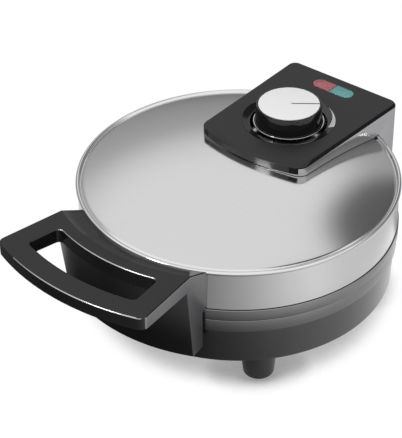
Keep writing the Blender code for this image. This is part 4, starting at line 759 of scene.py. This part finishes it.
dial = {"y": 0.0886, "dishRadius": 0.036, "dishFloorRadius": 0.029, "dishDepth": 0.0022, "dishSoft": 0.0022,
        "hole": 0.004, "knobFoot": 0.1188, "knobTop": 0.1341, "knobRadius": 0.0242, "footRadius": 0.0256,
        "bore": 0.0033, "boreDepth": 0.0093, "soft": 0.0006, "clear": 0.0003, "seatDrop": 0.0014,
        "trimRadius": 0.0267, "trimHeight": 0.0011, "trimInset": 0.001, "capRadius": 0.0229,
        "capTop": 0.13424, "capThick": 0.0012, "capSoft": 0.0003, "pointerTurn": 37.5, "pointerStart": 0.0018,
        "pointerEnd": 0.0002, "pointerWide": 0.0011, "pointerSunk": 0.0003, "pointerTall": 0.00035,
        "cutLow": 0.1, "cutHigh": 0.13, "cutAbove": 0.004}
dialCentre = Vector((0, dial["y"], 0))
lamps = {"y": 0.1448, "length": 0.0366, "width": 0.0124, "proud": 0.0004, "underside": 0.1163,
         "cutFoot": 0.11, "cutTall": 0.02, "clear": 0.0006, "halfGap": 0.00015, "soft": 0.0004}
# how an edge or a face of the fascia lies when it is softened or gets its own look: the matte top and front
# slope, or the painted shade on the sides
fasciaLooks = {"rimTurn": 5, "flatUp": 0.995, "flatMargin": 0.0002, "slopeUp": 0.75, "slopeSideways": 0.45,
               "sideways": 0.3, "dishMargin": 0.0005}


def stadiumFace(bm, length, width, y, height):
    circle = bmesh.ops.create_circle(bm, cap_ends=True, radius=width / 2, segments=32)["verts"]
    for vert in circle:
        vert.co.x += math.copysign((length - width) / 2, vert.co.x) if abs(vert.co.x) > merge else 0
    bmesh.ops.translate(bm, verts=circle, vec=(0, y, height))
    return bm


def carveFascia():
    d, p, look = dial, pod, fasciaLooks

    def atRim(edge):
        low = min(vert.co.z for vert in edge.verts)
        return low > p["shoulder"] - slack and edge.calc_face_angle(0) > math.radians(look["rimTurn"])

    softenChosen(fasciaPiece, p["crest"], segments=3, wanted=atRim)
    low, high = p["top"] - d["dishDepth"], p["top"] + d["cutAbove"]
    wall = roundTurn([(0, low), (d["dishFloorRadius"], low), (d["dishRadius"], p["top"]),
                      (d["dishRadius"], high)], d["dishSoft"], steps=6)
    carve(fasciaPiece, spunRound(wall + [(0, high)], steps=120, centre=dialCentre))
    hole = [(0, d["cutLow"]), (d["hole"], d["cutLow"]), (d["hole"], d["cutHigh"]), (0, d["cutHigh"])]
    carve(fasciaPiece, spunRound(hole, steps=32, centre=dialCentre))
    window = stadiumFace(bmesh.new(), lamps["length"], lamps["width"], lamps["y"], lamps["cutFoot"])
    carve(fasciaPiece, raised(window, lamps["cutTall"]))
    evenNormals(fasciaPiece, angle=25)
    fasciaPiece.data.materials.append(fasciaMatte)
    fasciaPiece.data.materials.append(fasciaSidePaintedShade)
    for face in fasciaPiece.data.polygons:
        place, normal = face.center, face.normal
        outside = (place - dialCentre).xy.length > d["dishRadius"] + look["dishMargin"]
        flat = normal.z > look["flatUp"] and place.z > p["top"] - look["flatMargin"]
        forward = normal.y < 0 and abs(normal.x) < look["slopeSideways"]
        frontSlope = normal.z > look["slopeUp"] and place.z > p["shoulder"] and forward and outside
        # painted shade: side faces outside the dish take the darker, duller copy of the gloss
        beside = abs(normal.x) > look["sideways"] and outside
        face.material_index = 1 if flat or frontSlope else 2 if beside else 0


carveFascia()
print("control pod built")


# dial
def buildDial():
    d = dial
    seat, capFoot = d["capTop"] - d["seatDrop"], d["capTop"] - d["capThick"]
    boreTop, capHole = d["knobFoot"] + d["boreDepth"], d["capRadius"] + d["clear"]
    trimIn = d["footRadius"] + d["clear"]
    knob = [(d["bore"], d["knobFoot"]), (d["footRadius"], d["knobFoot"]), (d["knobRadius"], d["knobTop"]),
            (capHole, d["knobTop"]), (capHole, seat)]
    profile = roundTurn(knob, d["soft"]) + [(0, seat), (0, boreTop), (d["bore"], boreTop)]
    addPiece("knobBody", spunRound(profile, steps=120, centre=dialCentre), "dial", knobGloss,
             ["dial_knob"], smooth=40)
    low, high = d["knobFoot"], d["knobFoot"] + d["trimHeight"]
    ring = roundTurn([(d["trimRadius"] - d["trimInset"], low), (d["trimRadius"], low),
                      (d["trimRadius"], high), (trimIn, high)], d["soft"])
    ring.append((trimIn, low))
    addPiece("knobTrim", spunRound(ring, steps=120, centre=dialCentre), "dial", trimChrome,
             ["dial_trim"], smooth=40)
    cap = roundTurn([(0, capFoot), (d["capRadius"], capFoot), (d["capRadius"], d["capTop"]),
                     (0, d["capTop"])], d["capSoft"], steps=3)
    addPiece("knobCap", spunRound(cap, steps=120, centre=dialCentre), "dial", capSatin,
             ["dial_cap"], smooth=40)
    bm = bmesh.new()
    line = bmesh.ops.create_grid(bm, x_segments=1, y_segments=1, size=0.5)["verts"]
    for vert in line:
        vert.co.x = d["pointerStart"] if vert.co.x < 0 else d["capRadius"] - d["pointerEnd"]
        vert.co.y = math.copysign(d["pointerWide"] / 2, vert.co.y)
    turn = Matrix.Rotation(math.radians(d["pointerTurn"]), 3, "Z")
    bmesh.ops.rotate(bm, verts=line, cent=(0, 0, 0), matrix=turn)
    bmesh.ops.translate(bm, verts=line, vec=(0, d["y"], d["capTop"] - d["pointerSunk"]))
    addPiece("knobPointer", raised(bm, d["pointerTall"]), "dial", pointerInk, None)


# printed scale on the dish's wall: a sliver that widens clockwise
printed = {"inner": 0.0300, "outer": 0.0352, "thick": 0.00008, "cutRadius": 0.0268, "cutLow": 0.11,
           "cutHigh": 0.13, "shift": 0.0084, "tip": 172, "middle": 52, "spread": 30}


def buildScale():
    s, d = printed, dial
    slope = d["dishDepth"] / (d["dishRadius"] - d["dishFloorRadius"])
    low = pod["top"] - d["dishDepth"] + (s["inner"] - d["dishFloorRadius"]) * slope
    high = low + (s["outer"] - s["inner"]) * slope
    shell = [(s["inner"], low), (s["outer"], high), (s["outer"], high + s["thick"]),
             (s["inner"], low + s["thick"])]
    sliver = spunArc(shell, s["middle"], s["spread"], steps=24, centre=dialCentre)
    piece = addPiece("dialScale", sliver, "lid", scaleInk)
    tip = math.radians(s["tip"])
    centre = dialCentre + Vector((math.sin(tip), -math.cos(tip), 0)) * s["shift"]
    disc = [(0, s["cutLow"]), (s["cutRadius"], s["cutLow"]), (s["cutRadius"], s["cutHigh"]),
            (0, s["cutHigh"])]
    carve(piece, spunRound(disc, steps=96, centre=centre))


buildDial()
buildScale()
print("dial built")


# lamp lenses
lensLook = {"facets": 420, "bump": 0.5, "bumpDepth": 0.0004, "rough": 0.12, "coat": 0.5}


def lensMaterial(name, colour, dark):
    material, tree, shader, mapping = startMaterial(name, 0.0, (1, 1, 1), colour)
    cells = addNode(tree, "ShaderNodeTexVoronoi")
    cells.inputs["Scale"].default_value = lensLook["facets"]
    tree.links.new(mapping.outputs["Vector"], cells.inputs["Vector"])
    tone = mixStep(tree, cells.outputs["Distance"], (*colour, 1), (*dark, 1), "RGBA")
    tree.links.new(tone, shader.inputs["Base Color"])
    addRelief(tree, shader, cells.outputs["Distance"], lensLook["bump"], lensLook["bumpDepth"])
    shader.inputs["Roughness"].default_value = lensLook["rough"]
    shader.inputs["Coat Weight"].default_value = lensLook["coat"]
    return material


redLens = lensMaterial("redLens", (0.37, 0.06, 0.08), (0.17, 0.015, 0.025))
tealLens = lensMaterial("tealLens", (0.07, 0.31, 0.31), (0.02, 0.15, 0.15))


def buildLenses():
    m = lamps
    for side, colour, material in ((-1, "red", redLens), (1, "teal", tealLens)):
        length, width = m["length"] - m["clear"], m["width"] - m["clear"]
        bm = stadiumFace(bmesh.new(), length, width, m["y"], m["underside"])
        bmesh.ops.bisect_plane(bm, geom=bm.verts[:] + bm.edges[:] + bm.faces[:], dist=0.000001,
                               plane_co=(side * m["halfGap"], 0, 0), plane_no=(-side, 0, 0), clear_outer=True)
        raised(bm, pod["top"] + m["proud"] - m["underside"])
        top = max(bm.faces, key=lambda face: face.calc_center_median().z)
        bevelSome(bm, list(top.edges), m["soft"], segments=3)
        addPiece("lampLens_" + colour, bm, "lid", material, ["lens_" + colour], smooth=40)


buildLenses()
print("lenses built")

# looks of the nodes that stay
stays = {"grid": gridCoat, "heating": sheathMetal, "reflector": plateMetal, "screw": zincMetal,
         "pin": zincMetal, "clip": zincMetal, "gland": glandRubber, "terminal": paleCeramic,
         "holder": paleCeramic, "glow": lampGlass, "thermostat": plateMetal,
         "hinge_arm": basePlastic, "shaft": zincMetal, "shell": basePlastic}
for name, node in nodes.items():
    for word, material in stays.items():
        if word in name:
            node.data.materials.clear()
            node.data.materials.append(material)
            break
print("node materials set")


# floor, world, lamps and camera
# near and far are pairs of bearing, from the front counter-clockwise, and brightness; shadow is pairs of
# openness and tone
glow = {"near": ((-180, 0.65), (-150, 0.9), (-120, 0.9), (-90, 0.9), (-66, 0.8), (-50, 0.1), (-40, 0.03),
                 (0, 0.03), (19, 0.05), (43, 0.2), (67, 0.45), (91, 0.65), (115, 0.95), (139, 1.2),
                 (147, 1.2), (151, 0.35), (163, 0.45), (180, 0.65)),
        "far": ((-180, 0.6), (-161, 0.9), (-149, 1.3), (-120, 0.9), (-90, 0.9), (-66, 0.7), (-50, 0.1),
                (-20, 0.05), (0, 0.12), (19, 0.27), (43, 0.55), (67, 0.92), (80, 1.05), (100, 0.9),
                (139, 0.8), (163, 0.64), (180, 0.58)),
        "nearEnd": 0.175, "farStart": 0.215, "scale": 1.4, "shadowReach": 0.03,
        "shadow": ((0.50, 0.33), (0.78, 1.0)), "floorHalf": 6, "floorDrop": 0.0002}


def stretched(tree, value, low, high, smooth=False):
    span = addNode(tree, "ShaderNodeMapRange", interpolation_type="SMOOTHSTEP" if smooth else "LINEAR")
    tree.links.new(value, span.inputs["Value"])
    span.inputs["From Min"].default_value = low
    span.inputs["From Max"].default_value = high
    return span.outputs["Result"]


def greyRamp(tree, value, stops):
    ramp = addNode(tree, "ShaderNodeValToRGB")
    marks = ramp.color_ramp.elements
    for _ in stops[2:]:
        marks.new(0.5)
    for mark, (position, level) in zip(marks, stops):
        mark.position = position
        mark.color = (level, level, level, 1)
    tree.links.new(value, ramp.inputs["Fac"])
    return ramp.outputs["Color"]


def bearingGlow(tree, bearing, stops):
    spread = [((angle + 180) / 360, level / glow["scale"]) for angle, level in stops]
    return greyRamp(tree, bearing, spread)


def buildFloor():
    bm = bmesh.new()
    bmesh.ops.create_grid(bm, x_segments=1, y_segments=1, size=glow["floorHalf"])
    data = bpy.data.meshes.new("studioFloor")
    bm.to_mesh(data)
    bm.free()
    floor = addObject("studioFloor", data)
    floor.location.z = -glow["floorDrop"]
    material, tree, shader, place = startMaterial("studioFloor")
    shader.inputs["Roughness"].default_value = 0.9
    shader.inputs["Specular IOR Level"].default_value = 0.1
    split = addNode(tree, "ShaderNodeSeparateXYZ")
    tree.links.new(place.outputs["Vector"], split.inputs[0])
    x, y = split.outputs["X"], mathStep(tree, "SUBTRACT", split.outputs["Y"], body["axisY"])
    turn = mathStep(tree, "ARCTAN2", x, mathStep(tree, "MULTIPLY", y, -1.0))
    bearing = stretched(tree, turn, -math.pi, math.pi)
    radius = mathStep(tree, "POWER", mathStep(tree, "ADD", mathStep(tree, "POWER", x, 2.0),
                                              mathStep(tree, "POWER", y, 2.0)), 0.5)
    away = stretched(tree, radius, glow["nearEnd"], glow["farStart"], True)
    mirrored = mixStep(tree, away, bearingGlow(tree, bearing, glow["near"]),
                       bearingGlow(tree, bearing, glow["far"]), "RGBA")
    shadow = addNode(tree, "ShaderNodeAmbientOcclusion", samples=16)
    shadow.inputs["Distance"].default_value = glow["shadowReach"]
    lit = greyRamp(tree, shadow.outputs["AO"], glow["shadow"])
    ray = addNode(tree, "ShaderNodeLightPath").outputs
    direct = mixStep(tree, ray["Is Glossy Ray"], lit, mirrored, "RGBA")
    clear = mixStep(tree, ray["Is Transmission Ray"], direct, (1, 1, 1, 1), "RGBA")
    tree.links.new(clear, shader.inputs["Emission Color"])
    glossy = mathStep(tree, "MULTIPLY", ray["Is Glossy Ray"], glow["scale"])
    straight = mathStep(tree, "MAXIMUM", ray["Is Camera Ray"], ray["Is Transmission Ray"])
    tree.links.new(mathStep(tree, "MAXIMUM", glossy, straight), shader.inputs["Emission Strength"])
    plain = mathStep(tree, "SUBTRACT", 1.0, mathStep(tree, "MAXIMUM", ray["Is Glossy Ray"], straight))
    tone = mixStep(tree, plain, (0, 0, 0, 1), (0.8, 0.8, 0.8, 1), "RGBA")
    tree.links.new(tone, shader.inputs["Base Color"])
    data.materials.append(material)


def skyward(bearing, height):
    b, h = math.radians(bearing), math.radians(height)
    return (math.sin(b) * math.cos(h), -math.cos(b) * math.cos(h), math.sin(h))


# parts of the sky: bearing, height, where the part starts and ends as cosines, its level
sky = {"low": ((0.0, 0.10), (0.21, 0.40), (0.5, 0.60)), "high": (37, 57, 0.30, 0.45, 1.3),
       "patch": (221, 52, 0.866, 0.961, 1.08), "spot": (181, 39, 0.9426, 0.972, 0.14),
       "over": (174, 66, 0.9781, 0.9877, 0.12)}


def buildWorld():
    world = bpy.data.worlds.new("studio")
    bpy.context.scene.world = world
    world.use_nodes = True
    tree = world.node_tree
    back = tree.nodes["Background"]
    place = addNode(tree, "ShaderNodeTexCoord")
    split = addNode(tree, "ShaderNodeSeparateXYZ")
    tree.links.new(place.outputs["Generated"], split.inputs[0])
    level = greyRamp(tree, split.outputs["Z"], sky["low"])
    for part in ("high", "patch", "spot", "over"):
        bearing, height, start, end, tone = sky[part]
        near = addNode(tree, "ShaderNodeVectorMath", operation="DOT_PRODUCT")
        tree.links.new(place.outputs["Generated"], near.inputs[0])
        near.inputs[1].default_value = skyward(bearing, height)
        level = mixStep(tree, stretched(tree, near.outputs["Value"], start, end, True), level, tone)
    path = addNode(tree, "ShaderNodeLightPath")
    shown = mixStep(tree, path.outputs["Is Camera Ray"], level, 1.0)
    back.inputs["Color"].default_value = (1, 1, 1, 1)
    tree.links.new(shown, back.inputs["Strength"])


def addLamp(name, place, aim, size, energy):
    data = bpy.data.lights.new(name, "AREA")
    data.shape = "RECTANGLE"
    data.size, data.size_y = size
    data.energy = energy
    lamp = addObject(name, data)
    lamp.location = place
    lamp.rotation_euler = (Vector(place) - Vector(aim)).to_track_quat("Z", "Y").to_euler()


# the camera's distance and shifts are counted in the lid's radius
view = {"azimuth": 40.718, "height": 36.066, "roll": -0.924, "unit": 0.118, "distance": 9.562,
        "right": -0.233, "up": -0.065, "lens": 124.9, "sensor": 36}


def buildCamera():
    v = view
    a, e, r = math.radians(v["azimuth"]), math.radians(v["height"]), math.radians(v["roll"])
    back = Vector((math.sin(a) * math.cos(e), -math.cos(a) * math.cos(e), math.sin(e)))
    right = Vector((math.cos(a), math.sin(a), 0))
    up = back.cross(right)
    tiltRight = math.cos(r) * right + math.sin(r) * up
    tiltUp = -math.sin(r) * right + math.cos(r) * up
    target = Vector((0, body["axisY"], body["skirtFoot"]))
    distance, right, up = v["distance"] * v["unit"], v["right"] * v["unit"], v["up"] * v["unit"]
    place = target + distance * back + right * tiltRight + up * tiltUp
    data = bpy.data.cameras.new("photoView")
    data.lens = v["lens"]
    data.sensor_width = v["sensor"]
    camera = addObject("photoView", data)
    turn = Matrix((tiltRight, tiltUp, back)).transposed()
    camera.matrix_world = Matrix.Translation(place) @ turn.to_4x4()
    bpy.context.scene.camera = camera


buildFloor()
buildWorld()
addLamp("frontStrip", place=(-0.36, -1.0, 1.02), aim=(0, -0.12, 0.11), size=(0.25, 0.25), energy=3.5)
buildCamera()
bpy.context.scene.view_settings.view_transform = "Standard"
print("stage, lamps and camera set")
